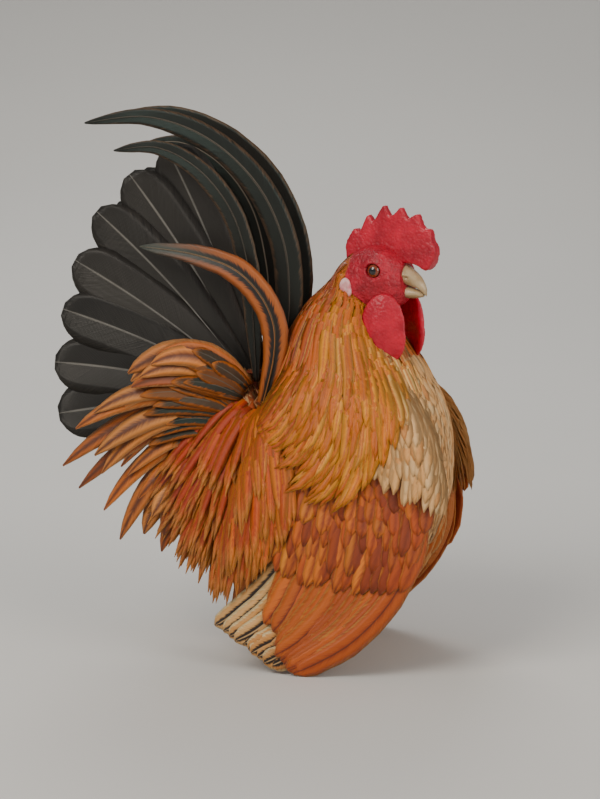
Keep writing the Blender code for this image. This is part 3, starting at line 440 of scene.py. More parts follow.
# Each sheath from the face to its tip: x, top, bottom and half width.
UPPER_BEAK = [
    (30.5, 231.6, 219.2, 6.9), (34, 230.2, 219.0, 6.2), (38, 228, 218.2, 5.2), (43, 224.4, 216.9, 3.9),
    (46.2, 220.4, 214.8, 2.4), (47.8, 217, 213.3, 1.2), (48.3, 214.6, 212.9, 0.35)]
LOWER_BEAK = [
    (30.5, 218.6, 211.2, 6.2), (34, 218.3, 211.3, 5.2), (38, 217.4, 211.1, 4.4), (43, 216.1, 211.7, 3.0),
    (46.4, 214.3, 212.4, 1.0)]
NOSTRIL = (37.4, 4.8, 223.3)


def beak_half(rows, upper):
    """One sheath as rings, in millimetres, ridged above and keeled where it closes on the other."""
    rings, columns = 70, 64
    t, around = np.meshgrid(
        np.linspace(0, len(rows) - 1, rings), np.linspace(0, 2 * np.pi, columns + 1), indexing="ij")
    x, top, bottom, half = np.moveaxis(rows_at(rows, t), -1, 0)
    c, s = np.cos(around), np.sin(around)
    middle = (top + bottom) / 2
    height = (top - bottom) / 2
    sharp = np.sign(s) * np.abs(s) ** (0.82 if upper else 0.95) * (
        1 - 0.22 * np.clip(c if upper else -c, 0, 1) ** 2)
    z = middle + height * np.sign(c) * np.abs(c) ** 0.95
    y = half * sharp
    x = x + (1.4 * np.sin(np.pi * np.clip(c, 0, 1) / 2) if upper else 0) * (t < len(rows) - 2) * 0.3
    points = np.stack([x, y, z], -1)
    if upper:
        for side in (-1, 1):
            away = points - (NOSTRIL[0], side * NOSTRIL[1], NOSTRIL[2])
            slit = np.linalg.norm(away * (0.62, 0.5, 1.25), axis=-1)
            flap = np.linalg.norm((away - (-0.6, 0, 1.3)) * (0.5, 0.5, 1.1), axis=-1)
            points[..., 1] += side * (0.75 * np.exp(-(flap / 1.25) ** 2) - 1.5 * np.exp(-(slit / 0.8) ** 2))
    return points


# Keratin horn: ivory, a little see-through and half polished, with fine growth lines.
horn, shader = new_material("beak_horn")
where = add_node(horn, "ShaderNodeTexCoord")
growth = add_node(
    horn, "ShaderNodeTexWave",
    {"Vector": where.outputs["Object"], "Scale": 260.0, "Distortion": 3.0, "Detail": 2.0},
    bands_direction="X")
cloud = add_node(
    horn, "ShaderNodeTexNoise", {"Vector": where.outputs["Object"], "Scale": 120.0, "Detail": 3.0})
ivory = add_node(horn, "ShaderNodeValToRGB", {"Fac": cloud.outputs["Fac"]})
ivory.color_ramp.elements[0].position, ivory.color_ramp.elements[1].position = 0.25, 0.75
ivory.color_ramp.elements[0].color = colour("#94764e")
ivory.color_ramp.elements[1].color = colour("#cbb48e")
beak_bump = add_node(
    horn, "ShaderNodeBump", {"Height": growth.outputs["Fac"], "Strength": 0.2, "Distance": 0.0002})
set_inputs(
    horn, shader, Base_Color=ivory.outputs["Color"], Roughness=0.34, Subsurface_Weight=0.15,
    Subsurface_Radius=(0.5, 0.3, 0.15), Subsurface_Scale=0.002, Normal=beak_bump.outputs["Normal"])

for rows_of, upper, name in ((UPPER_BEAK, True, "beak_upper"), (LOWER_BEAK, False, "beak_lower")):
    half_beak = beak_half(rows_of, upper)
    r, k = half_beak.shape[:2]
    end = np.broadcast_to(half_beak[-1].mean(0), half_beak[-1].shape)
    points = settled(turned(np.concatenate([half_beak, end[None]])))
    u, v = np.meshgrid(np.linspace(0.02, 0.98, k), np.linspace(0.02, 0.98, r + 1))
    mesh = quad_mesh(
        name + "_sheath", points, grid_quads(r + 1, k, closed=False), {"OFBake": np.stack([u, v], -1)})
    add_piece(name + "_sheath", mesh, horn, "horn", name)

# The comb, wattles and ear lobes: folds of spongy skin, pebbled and crimson,
# growing from the crown and jaw, the lobes smooth and pinkish white.

COMB = [
    (-4, 231), (-4.5, 240), (-1, 246.5), (1, 249), (4, 247), (6.5, 252), (9, 257), (11, 255.5), (13, 253.5),
    (16, 258), (20, 263),
    (22.5, 260), (25, 257), (28.5, 259.5), (32, 262.5), (34, 259.5), (36.5, 256), (40, 258), (43, 259),
    (44.8, 255), (46.5, 251.5),
    (49, 251), (51, 250.5), (52, 247.5), (52.5, 244.5), (54.2, 242.5), (55, 240), (54.8, 236), (53.5, 232),
    (50.5, 228.2),
    (47.5, 228), (45, 229.5), (40, 231), (30, 231), (16, 232), (4, 230)]
COMB_THICK = 7.4


def soft_form(name, mesh, voxel, grain_mm, grain_high, rounds=4):
    """The mesh as one even skin, smoothed and then pebbled by its own grain."""
    holder = bpy.data.objects.new(name, mesh)
    bpy.context.scene.collection.objects.link(holder)
    remesh = holder.modifiers.new("even", "REMESH")
    remesh.mode = "VOXEL"
    remesh.voxel_size = voxel * MM
    relax = holder.modifiers.new("relax", "SMOOTH")
    relax.factor = 0.6
    relax.iterations = rounds
    pebbles = bpy.data.textures.new(name, "VORONOI")
    pebbles.noise_scale = grain_mm * MM
    pebbles.noise_intensity = 1.0
    raised = holder.modifiers.new("pebbles", "DISPLACE")
    raised.texture = pebbles
    raised.strength = -grain_high * MM
    raised.mid_level = 0.5
    raised.texture_coords = "LOCAL"
    graph = bpy.context.evaluated_depsgraph_get()
    made = bpy.data.meshes.new_from_object(holder.evaluated_get(graph), depsgraph=graph)
    bpy.data.objects.remove(holder)
    bpy.data.textures.remove(pebbles)
    for face in made.polygons:
        face.use_smooth = True
    return made


def points_of(mesh):
    """The mesh's points as an array."""
    co = np.empty(len(mesh.vertices) * 3, np.float32)
    mesh.vertices.foreach_get("co", co)
    return co.reshape(-1, 3)


def side_uv(mesh):
    """A map of a flat form from its two sides, each side in its own half of the square."""
    co = points_of(mesh)
    low, size = co.min(0), co.max(0) - co.min(0)
    loops = np.empty(len(mesh.loops), np.int32)
    mesh.loops.foreach_get("vertex_index", loops)
    normals = np.empty(len(mesh.polygons) * 3, np.float32)
    mesh.polygons.foreach_get("normal", normals)
    totals = np.empty(len(mesh.polygons), np.int32)
    mesh.polygons.foreach_get("loop_total", totals)
    facing = np.repeat(normals.reshape(-1, 3)[:, 1] > 0, totals)
    u = (co[loops, 0] - low[0]) / size[0] * 0.46 + 0.02 + 0.5 * facing
    v = (co[loops, 2] - low[2]) / size[2] * 0.96 + 0.02
    layer = mesh.uv_layers.new(name="OFBake")
    layer.data.foreach_set("uv", np.stack([u, v], -1).astype(np.float32).ravel())


outline = bpy.data.curves.new("comb_outline", "CURVE")
outline.dimensions = "2D"
outline.fill_mode = "BOTH"
outline.extrude = COMB_THICK * 0.5 * MM
line = outline.splines.new("POLY")
dense = rows_at(COMB, np.linspace(0, len(COMB) - 1, 160))
line.points.add(len(dense) - 1)
for point, (x, z) in zip(line.points, dense):
    point.co = (x * MM, z * MM, 0, 1)
line.use_cyclic_u = True
holder = bpy.data.objects.new("comb_outline", outline)
bpy.context.scene.collection.objects.link(holder)
flat_comb = bpy.data.meshes.new_from_object(holder.evaluated_get(bpy.context.evaluated_depsgraph_get()))
bpy.data.objects.remove(holder)
for vert in flat_comb.vertices:
    x, z, y = vert.co / MM
    vert.co = (x * MM, y * MM, z * MM)
shape = bmesh.new()
shape.from_mesh(flat_comb)
bmesh.ops.remove_doubles(shape, verts=shape.verts, dist=0.01 * MM)
bmesh.ops.recalc_face_normals(shape, faces=shape.faces)
shape.to_mesh(flat_comb)
shape.free()
comb_mesh = soft_form("comb_form", flat_comb, 0.75, 1.7, 0.45, 7)
co = points_of(comb_mesh) / MM
height = np.clip((co[:, 2] - 232) / 30, 0, 1)
co[:, 1] = co[:, 1] * (1.1 - 0.62 * height) + 0.7 * np.sin(co[:, 0] / 7.0) * height
comb_mesh.vertices.foreach_set("co", settled(turned(co)).astype(np.float32).ravel())
comb_mesh.update()
side_uv(comb_mesh)

# Comb and wattle skin: blood red, waxy and pebbled, with a paler painted highlight on the crest of each
# pebble.
comb_skin, shader = new_material("comb_skin")
where = add_node(comb_skin, "ShaderNodeTexCoord")
blood = add_node(
    comb_skin, "ShaderNodeTexNoise", {"Vector": where.outputs["Object"], "Scale": 90.0, "Detail": 4.0})
pebble = add_node(comb_skin, "ShaderNodeTexVoronoi", {"Vector": where.outputs["Object"], "Scale": 640.0})
red = add_node(comb_skin, "ShaderNodeValToRGB", {"Fac": blood.outputs["Fac"]})
red.color_ramp.elements[0].position, red.color_ramp.elements[1].position = 0.3, 0.72
red.color_ramp.elements[0].color = colour("#98001c")
red.color_ramp.elements[1].color = colour("#cc0a2e")
# Painted highlight: the colour pales towards the middle of each pebble, where the bump raises it.
pebble_highlight_mask = add_node(
    comb_skin, "ShaderNodeMapRange", {"Value": pebble.outputs["Distance"], 1: 0.0, 2: 0.55, 3: 0.2, 4: 0.0})
lit = add_node(
    comb_skin, "ShaderNodeMix",
    {"Factor": pebble_highlight_mask.outputs["Result"], 6: red.outputs["Color"], 7: colour("#cc1436")}, data_type="RGBA")
pebble_bump = add_node(
    comb_skin, "ShaderNodeBump",
    {"Height": pebble.outputs["Distance"], "Strength": 0.6, "Distance": 0.0004}, invert=True)
set_inputs(
    comb_skin, shader, Base_Color=lit.outputs[2], Roughness=0.42, Subsurface_Weight=0.2,
    Subsurface_Radius=(0.8, 0.2, 0.15), Subsurface_Scale=0.002, Normal=pebble_bump.outputs["Normal"])
add_piece("comb_blade", comb_mesh, comb_skin, "comb", "comb")


def drop_form(size, hang, seed):
    """A hanging fold as a closed drop in millimetres about its middle, wavy at the rim and thin in front."""
    rings, columns = 64, 72
    polar, around = np.meshgrid(
        np.linspace(0, np.pi, rings), np.linspace(0, 2 * np.pi, columns + 1), indexing="ij")
    x = np.sin(polar) * np.cos(around) * size[0]
    y = np.sin(polar) * np.sin(around) * size[1]
    z = np.cos(polar) * size[2]
    down = np.clip(-np.cos(polar), 0, 1)
    x = x * (1 + hang * (down - 0.5)) + 1.5 * down
    y = y * (
        1 + 0.25 * np.sin(3 * around + seed)) + size[1] * 0.5 * np.sin(x / 4.2 + seed) * (0.3 + 0.7 * down)
    return np.stack([x, y, z], -1)


WATTLE = (28, 14.0, 194.5)
WATTLE_SIZE = (14.5, 3.2, 20.0)
WATTLE_TOE_IN = 16
WATTLE_LEAN = 2
for side, name in ((-1, "wattle_right"), (1, "wattle_left")):
    drop = drop_form(WATTLE_SIZE, 0.18, 1.0 + side)
    toe_in, lean = math.radians(-WATTLE_TOE_IN * side), math.tan(math.radians(WATTLE_LEAN)) * side
    x, y, z = np.moveaxis(drop, -1, 0)
    drop = np.stack([
        x * math.cos(toe_in) - y * math.sin(toe_in), x * math.sin(toe_in) + y * math.cos(toe_in) - lean * z,
        z], -1)
    points = settled(turned(drop + (WATTLE[0], side * WATTLE[1], WATTLE[2])))
    raw = quad_mesh(name + "_raw", points, grid_quads(*points.shape[:2], closed=False))
    mesh = soft_form(name + "_form", raw, 0.7, 1.7, 0.4, 3)
    side_uv(mesh)
    add_piece(name + "_fold", mesh, comb_skin, "comb", name)

# Ear lobe skin: thin and smooth, white with the blood's pink under it.
lobe_skin, shader = new_material("ear_lobe_skin")
where = add_node(lobe_skin, "ShaderNodeTexCoord")
veins = add_node(
    lobe_skin, "ShaderNodeTexNoise", {"Vector": where.outputs["Object"], "Scale": 260.0, "Detail": 4.0})
pink = add_node(lobe_skin, "ShaderNodeValToRGB", {"Fac": veins.outputs["Fac"]})
pink.color_ramp.elements[0].position, pink.color_ramp.elements[1].position = 0.35, 0.7
pink.color_ramp.elements[0].color = colour("#cc7076")
pink.color_ramp.elements[1].color = colour("#e8c4bc")
lobe_bump = add_node(
    lobe_skin, "ShaderNodeBump", {"Height": veins.outputs["Fac"], "Strength": 0.3, "Distance": 0.0003})
set_inputs(
    lobe_skin, shader, Base_Color=pink.outputs["Color"], Roughness=0.5, Subsurface_Weight=0.2,
    Subsurface_Radius=(0.8, 0.3, 0.25), Subsurface_Scale=0.002, Normal=lobe_bump.outputs["Normal"])

EARLOBE = (4.5, 16.6, 216.5)
EARLOBE_SIZE = (4.4, 2.2, 5.6)
for side, name in ((-1, "earlobe_right"), (1, "earlobe_left")):
    drop = drop_form(EARLOBE_SIZE, 0.1, 2.0 - side)
    points = settled(turned(drop + (EARLOBE[0], side * EARLOBE[1], EARLOBE[2])))
    raw = quad_mesh(name + "_raw", points, grid_quads(*points.shape[:2], closed=False))
    mesh = soft_form(name + "_form", raw, 0.5, 2.2, 0.15, 3)
    side_uv(mesh)
    add_piece(name + "_fold", mesh, lobe_skin, "earlobe", name)

# The body's coat: short round contour feathers from breast to vent, rooted in
# the hide and shingled towards the tail, with a downy edge.

luck = np.random.default_rng(11)


def vanes(name, lines, normals, halves, root_uv, lots, across=3, camber=0.14, thick=0.22):
    """Closed feather vanes as one mesh: for each its centre line, upward normals and half widths in mm.

    Each takes a patch of the OFBake map at its root's place on the hide, and carries its lot.
    """
    count, stations = lines.shape[:2]
    along = np.gradient(lines, axis=1)
    side = unit(np.cross(normals, along))
    up = unit(np.cross(along, side))
    reach = np.linspace(-1, 1, across)
    wide = halves[..., None, None] * MM
    top = lines[:, :, None] + side[:, :, None] * reach[:, None] * wide + up[:, :, None] * (
        (1 - reach ** 2)[:, None] * camber) * wide
    shell = np.full(stations, thick)
    shell[-1] *= 0.3
    low = top[:, :, 1:-1][:, :, ::-1] - up[:, :, None] * shell[None, :, None, None] * MM
    rings = np.concatenate([top, low], 2)
    sides = rings.shape[2]
    one = [grid_quads(stations, sides)]
    for first in (0, (stations - 1) * sides):
        caps = [
            (first + i, first + i + 1, first + sides - 2 - i, first + sides - 1 - i)
            for i in range(sides // 2 - 1)]
        one.append(np.array(caps)[:, ::-1] if first else np.array(caps))
    one = np.concatenate(one)
    quads = (one[None] + (np.arange(count) * stations * sides)[:, None, None]).reshape(-1, 4)
    place = np.concatenate([(reach + 1) / 2, ((reach + 1) / 2)[1:-1][::-1]])
    u, v = np.meshgrid(place, np.linspace(0, 1, stations))
    vane_uv = np.broadcast_to(np.stack([u, v], -1), (count, stations, sides, 2))
    bake_uv = np.clip(root_uv[:, None, None] + 0.003 * (vane_uv - 0.5), 0.001, 0.999)
    lot = np.ones((count, stations, sides, 4), np.float32)
    lot[..., :3] = lots[:, None, None]
    return quad_mesh(name, rings, quads, {"OFBake": bake_uv, "Vane": vane_uv}, lot.reshape(-1, 4))


# How far along t a feather's line is followed, in how many steps, and how fast it fans out.
LAY_REACH = 8.0
LAY_STEPS = 70
FAN_RATE = 0.25


def lay_down(place, t, angle, lengths, stations, fan=0.0):
    """The t and angle of points evenly along lines that follow the surface from each root to the tail."""
    steps = np.linspace(0, 1, LAY_STEPS)
    fan = np.asarray(fan)[..., None]
    ts = t[:, None] - steps * LAY_REACH
    angles = angle[:, None] + fan * steps * LAY_REACH * FAN_RATE
    walked = np.linalg.norm(np.diff(place(ts, angles), axis=1), axis=-1) / MM
    walked = np.concatenate([np.zeros((len(t), 1)), np.cumsum(walked, 1)], 1)
    wanted = lengths[:, None] * np.linspace(0, 1, stations)
    found = np.stack(
        [np.interp(w, g, s) for w, g, s in zip(wanted, walked, np.broadcast_to(steps, walked.shape))])
    return t[:, None] - found * LAY_REACH, angle[:, None] + fan * found * LAY_REACH * FAN_RATE


def outline_of(shape, stations):
    """Half widths along a feather, as shares of its widest, from a few given ones."""
    places, widths = zip(*shape)
    return np.interp(np.linspace(0, 1, stations), places, widths)


BARB_PITCH = 1.1
FULL_TURN = 6.283


def plumage(
        name, stops, length, half, edge=None, heart=None, tip=None, root=None, shaft=None, roughness=0.5,
        sheen=0.25, jitter=0.25, light=0.4, **more):
    """A feather's surface: barbs that slant from the shaft to the edges over a colour from the feather's lot.

    Edge, heart, tip and root are each a place, a softness and a colour. Barbs are drawn 1.1 mm apart, three
    times as coarse as real ones, so that they show.
    """
    made, shader = new_material(name)
    spot = add_node(made, "ShaderNodeUVMap", uv_map="Vane")
    axes = add_node(made, "ShaderNodeSeparateXYZ", {"Vector": spot.outputs["UV"]})
    lot = add_node(made, "ShaderNodeAttribute", attribute_name="Lot")
    draws = add_node(made, "ShaderNodeSeparateColor", {"Color": lot.outputs["Color"]})
    offset = add_node(
        made, "ShaderNodeMath", {0: axes.outputs["X"], 1: 2.0, 2: -1.0}, operation="MULTIPLY_ADD")
    out = add_node(made, "ShaderNodeMath", {0: offset.outputs["Value"]}, operation="ABSOLUTE")
    down = add_node(
        made, "ShaderNodeMath", {0: axes.outputs["Y"], 1: length / BARB_PITCH * FULL_TURN},
        operation="MULTIPLY")
    slant = add_node(
        made, "ShaderNodeMath",
        {0: out.outputs["Value"], 1: -half * 1.3 / BARB_PITCH * FULL_TURN, 2: down.outputs["Value"]},
        operation="MULTIPLY_ADD")
    barbs = add_node(made, "ShaderNodeMath", {0: slant.outputs["Value"]}, operation="SINE")
    streak_place = add_node(
        made, "ShaderNodeCombineXYZ",
        {"X": out.outputs["Value"], "Y": slant.outputs["Value"], "Z": draws.outputs["Green"]})
    streak_size = add_node(
        made, "ShaderNodeVectorMath", {0: streak_place.outputs["Vector"], 1: (0.7, 0.16, 40.0)},
        operation="MULTIPLY")
    streaks = add_node(
        made, "ShaderNodeTexNoise", {"Vector": streak_size.outputs["Vector"], "Scale": 1.0, "Detail": 2.0})
    drawn = add_node(
        made, "ShaderNodeMath", {0: draws.outputs["Green"], 1: jitter, 2: draws.outputs["Red"]},
        operation="MULTIPLY_ADD")
    varied = add_node(
        made, "ShaderNodeMath", {0: streaks.outputs["Fac"], 1: 0.3, 2: drawn.outputs["Value"]},
        operation="MULTIPLY_ADD")
    centred = add_node(
        made, "ShaderNodeMath", {0: varied.outputs["Value"], 1: 0.15 + jitter / 2}, operation="SUBTRACT")
    ramp_node = add_node(made, "ShaderNodeValToRGB", {"Fac": centred.outputs["Value"]})
    ramp = ramp_node.color_ramp
    ramp.elements[0].position, ramp.elements[0].color = stops[0][0], colour(stops[0][1])
    ramp.elements[1].position, ramp.elements[1].color = stops[-1][0], colour(stops[-1][1])
    for position, code in stops[1:-1]:
        ramp.elements.new(position).color = colour(code)
    found = ramp_node.outputs["Color"]
    ragged_out = add_node(
        made, "ShaderNodeMath", {0: streaks.outputs["Fac"], 1: 0.5, 2: out.outputs["Value"]},
        operation="MULTIPLY_ADD")
    ragged_down = add_node(
        made, "ShaderNodeMath", {0: streaks.outputs["Fac"], 1: 0.24, 2: axes.outputs["Y"]},
        operation="MULTIPLY_ADD")
    marks = [
        (heart, ragged_out, 0.25, True), (root, ragged_down, 0.12, True), (edge, ragged_out, 0.25, False),
        (tip, ragged_down, 0.12, False)]
    for mark, along, middle, inside in marks:
        if mark is None:
            continue
        at, soft, code = mark
        share = add_node(
            made, "ShaderNodeMapRange",
            {
                0: along.outputs["Value"], 1: at + middle - soft, 2: at + middle + soft, 3: float(inside),
                4: float(not inside)}, interpolation_type="SMOOTHSTEP")
        found = add_node(
            made, "ShaderNodeMix", {"Factor": share.outputs["Result"], 6: found, 7: colour(code)},
            data_type="RGBA").outputs[2]
    if shaft is not None:
        at, soft, code = shaft
        share = add_node(
            made, "ShaderNodeMapRange",
            {0: out.outputs["Value"], 1: at - soft, 2: at + soft, 3: 0.8, 4: 0.0})
        found = add_node(
            made, "ShaderNodeMix", {"Factor": share.outputs["Result"], 6: found, 7: colour(code)},
            data_type="RGBA").outputs[2]
    shade = add_node(
        made, "ShaderNodeMath", {0: barbs.outputs["Value"], 1: 0.1, 2: 1.0 - light / 2},
        operation="MULTIPLY_ADD")
    bright = add_node(
        made, "ShaderNodeMath", {0: draws.outputs["Blue"], 1: light, 2: shade.outputs["Value"]},
        operation="MULTIPLY_ADD")
    toned = add_node(made, "ShaderNodeHueSaturation", {"Value": bright.outputs["Value"], "Color": found})
    relief = add_node(
        made, "ShaderNodeMath", {0: barbs.outputs["Value"], 1: 0.35, 2: streaks.outputs["Fac"]},
        operation="MULTIPLY_ADD")
    bump = add_node(
        made, "ShaderNodeBump", {"Height": relief.outputs["Value"], "Strength": 0.5, "Distance": 0.0003})
    set_inputs(
        made, shader, Base_Color=toned.outputs["Color"], Roughness=roughness, Sheen_Weight=sheen,
        Sheen_Roughness=0.4, Normal=bump.outputs["Normal"], **more)
    return made


def bird_x(points):
    """How far forward points lie, in the bird's own millimetres."""
    return (points[..., 0] - SHIFT[0]) / MM


def scattered(place, t_low, t_high, pitch, angle_low=-180.0, angle_high=180.0, jitter=0.35):
    """Roots spread evenly over a band of the surface, in rings a pitch apart in mm, as t and angle."""
    roots_t, roots_angle = [], []
    ts = np.linspace(t_low, t_high, 400)
    middle = (angle_low + angle_high) / 2 if angle_high - angle_low < 300 else 90.0
    walked = np.concatenate(
        [[0], np.cumsum(np.linalg.norm(np.diff(place(ts, np.full(400, middle)), axis=0), axis=-1))]) / MM
    for row, t in enumerate(np.interp(np.arange(0, walked[-1], pitch * 0.8), walked, ts)):
        around = np.linspace(angle_low, angle_high, 200)
        ring = np.concatenate(
            [[0], np.cumsum(np.linalg.norm(np.diff(place(np.full(200, t), around), axis=0), axis=-1))]) / MM
        count = max(3, int(ring[-1] / pitch))
        spots = (np.arange(count) + 0.5 * (row % 2) + luck.uniform(-jitter, jitter, count)) / count * ring[-1]
        roots_angle.append(np.interp(spots % ring[-1], ring, around))
        roots_t.append(
            t + luck.uniform(-jitter, jitter, count) * (t_high - t_low) / max(walked[-1] / pitch, 1))
    return np.clip(np.concatenate(roots_t), t_low, t_high), np.concatenate(roots_angle)


def coat(
        place, t, angle, lengths, halves, shape, stations, root_rise, tip_rise, lots, name, splay=5.0,
        fan=0.0, curl=0.0, across=3, camber=0.16, top=0.35):
    """A layer of feathers on a surface, rooted under it and rising to lie over it."""
    s = np.linspace(0, 1, stations)
    ts, angles = lay_down(place, t, angle, lengths, stations, fan)
    points = place(ts, angles)
    normals = outward(place, ts, angles)
    climb = 0.6 * np.minimum(1, s / top) ** 0.8 + 0.4 * s
    rise = root_rise + (tip_rise[:, None] - root_rise) * climb + curl * s ** 3
    across_way = unit(np.cross(normals, np.gradient(points, axis=1)))
    drift = np.radians(luck.normal(0, splay, len(t)))[:, None] * lengths[:, None] * s
    lines = points + normals * rise[..., None] * MM + across_way * drift[..., None] * MM
    lean = unit(normals + across_way * np.radians(luck.normal(0, 7, len(t)))[:, None, None])
    wide = halves[:, None] * outline_of(shape, stations)
    return vanes(name, lines, lean, wide, skin_uv(t, angle), lots, across, camber)


def lot_of(zone):
    """A feather's lot: its place in its material's colours, and two draws of its own."""
    return np.stack([zone, luck.random(len(zone)), luck.random(len(zone))], -1)


# Contour feathers: soft matt vanes, chestnut on the flanks and cream buff on the breast, paler at the rim.
contour_vane = plumage(
    "contour_feather_vane",
    [(0.0, "#561603"), (0.3, "#a34207"), (0.55, "#c4681f"), (0.78, "#d69a58"), (1.0, "#e2bb84")],
    18, 4, edge=(0.86, 0.2, "#dca86c"), root=(
        0.12, 0.15, "#b07a44"), roughness=0.65, sheen=0.15, jitter=0.14, light=0.16,
    Sheen_Tint=colour("#e0a468"))

CONTOUR_SHAPE = [(0, 0.35), (0.3, 0.85), (0.6, 1.0), (0.8, 0.84), (0.92, 0.5), (1, 0.1)]
root_t, root_angle = scattered(trunk_place, 0.4, 12.8, 3.8)
keep = (root_t < 10.0) | (np.abs(root_angle) > 92)
root_t, root_angle = root_t[keep], root_angle[keep]
points = trunk_place(root_t, root_angle)
x, z = bird_x(points), points[:, 2] / MM
front = smooth(12, 50, x) * smooth(35, 75, z)
back = smooth(115, 150, z) * (1 - smooth(0, 40, x))
zone = np.clip(
    0.42 + 0.46 * front - 0.32 * back + 0.08 * (1 - smooth(40, 70, z)) + luck.normal(0, 0.03, len(z)), 0, 1)
lengths = luck.uniform(19, 26, len(root_t)) + 4 * (1 - smooth(30, 80, z))
for name, part, nodes in (
        ("breast_feathers", np.abs(root_angle) > 112, ["torso"]),
        ("flank_feathers", np.abs(root_angle) <= 112, [])):
    count = part.sum()
    mesh = coat(
        trunk_place, root_t[part], root_angle[part], lengths[part], luck.uniform(3.2, 4.3, count),
        CONTOUR_SHAPE, 6, -4.2,
        luck.uniform(0.5, 0.9, count), lot_of(zone[part]), name, splay=7, camber=0.06)
    add_piece(name, mesh, contour_vane, "plumage", *nodes)

# Vent and belly down: long loose buff plumes under the tail's root and between the legs.
root_t, root_angle = scattered(trunk_place, 0.6, 6.5, 6.5, 100, 260)
root_angle = np.where(root_angle > 180, root_angle - 360, root_angle)
down_coat = coat(
    trunk_place, root_t, root_angle, luck.uniform(22, 34, len(root_t)), luck.uniform(4.5, 6.5, len(root_t)),
    [(0, 0.3), (0.4, 0.9), (0.7, 1.0), (0.9, 0.6), (1, 0.1)], 7, -3.0, luck.uniform(1.0, 3.5, len(root_t)),
    lot_of(np.full(len(root_t), 0.45)), "vent_down", splay=10, curl=1.5)

# Down: matt and cottony, buff with greyish roots.
down_vane = plumage(
    "down_plume", [(0.0, "#96501c"), (0.5, "#c4803c"), (1.0, "#dcaa6c")], 28, 5.5,
    edge=(0.6, 0.35, "#dcae74"), root=(0.3, 0.25, "#8d6038"), roughness=0.8, sheen=0.3,
    Sheen_Tint=colour("#e0b078"))
add_piece("vent_down", down_coat, down_vane, "fluff")

# The wings: folded and drooped to the floor, each a thin fleshy plate under
# tiers of quills: striped primaries, bronze secondaries, then covert scales.

# From the shoulder to the tip: the leading edge's x, z and y, the trailing edge's x, z and y, how
# far the outer face bulges, and how far the inner face lies within.
WING = [
    (34, 150, 37, -18, 152, 41, 3, 2), (47, 134, 40, -36, 138, 48, 6, 6), (54, 112, 41, -46, 114, 54, 9, 8),
    (55, 90, 43, -53, 90, 58, 9, 7), (52, 67, 48, -58, 66, 60, 8, 5), (41, 44, 53, -62, 44, 61, 6, 3.5),
    (21, 22, 57, -65, 29, 61, 4, 2.2), (-2, 7, 59, -66, 21, 60, 2.4, 1.4),
    (-18, -0.8, 60, -62, 16, 60, 1.4, 0.8)]


def wing_arch(u):
    """The share of the wing's bulge from its front edge over the middle to its rear edge."""
    return np.clip(4 * u * (1 - u), 0, 1) ** 0.6


def wing_surface(side):
    """The outer face of one wing: a place for each v from shoulder to tip and u from front to rear."""
    def place(v, u):
        v, u = np.broadcast_arrays(np.asarray(v, float), np.asarray(u, float))
        lx, lz, ly, rx, rz, ry, bulge, _ = np.moveaxis(rows_at(WING, v), -1, 0)
        arch = wing_arch(u)
        return settled(
            np.stack(
                [lx + (rx - lx) * u, side * (ly + (ry - ly) * u + bulge * arch), lz + (rz - lz) * u], -1))
    return place


def wing_outward(place, v, u, side):
    normal = outward(place, v, u, 0.05, 0.03)
    return normal * np.sign(normal[..., 1:2] * side + 1e-9)


def wing_uv(v, u, side):
    """The place on the wing's own unwrap, beside the hide's."""
    return np.stack(
        [(0.62 if side < 0 else 0.81) + 0.17 * np.clip(u, 0, 1), 0.02 + 0.96 * np.clip(v, 0, 8) / 8], -1)


# Each tier from the lowest up: feathers, the v and u of the first and last root and of the first and last
# tip, how far the tips bow down between, half a feather's width, its tip's lift, its lean and its stations.
WING_TIERS = {
    "primaries": [(11, (4.2, 0.24), (3.0, 0.6), (8.0, 0.34), (6.3, 1.0), 0.2, 6.6, 0.3, 9, 16)],
    "secondaries": [(15, (3.0, 0.06), (2.4, 0.6), (7.6, 0.10), (5.35, 0.7), 0.5, 7.0, 2.4, 7, 16)],
    "greater_coverts": [
        (19, (2.5, 0.05), (2.0, 0.8), (4.6, 0.06), (3.9, 0.86), 0.35, 5.6, 3.8, 6, 10),
        (20, (2.1, 0.06), (1.6, 0.84), (4.1, 0.05), (3.5, 0.88), 0.32, 5.2, 4.4, 6, 10),
        (20, (1.7, 0.04), (1.3, 0.86), (3.65, 0.06), (3.1, 0.9), 0.3, 5.0, 4.9, 6, 10)],
    "lesser_coverts": [
        (19 + row % 2,
         (2.1 - 0.26 * row, 0.03 + 0.025 * (row % 2)), (1.9 - 0.25 * row, 0.92 - 0.02 * (row % 2)),
         (3.2 - 0.27 * row, 0.03 + 0.025 * (row % 2)), (3.0 - 0.27 * row, 0.96),
         0.12, 4.7, 5.2 + 0.28 * row, 6, 8)
        for row in range(9)],
}
QUILL_SHAPE = [(0, 0.5), (0.25, 0.9), (0.7, 1.0), (0.88, 0.9), (0.96, 0.62), (1, 0.15)]
SCALE_SHAPE = [(0, 0.5), (0.35, 0.95), (0.65, 1.0), (0.86, 0.82), (0.96, 0.5), (1, 0.12)]


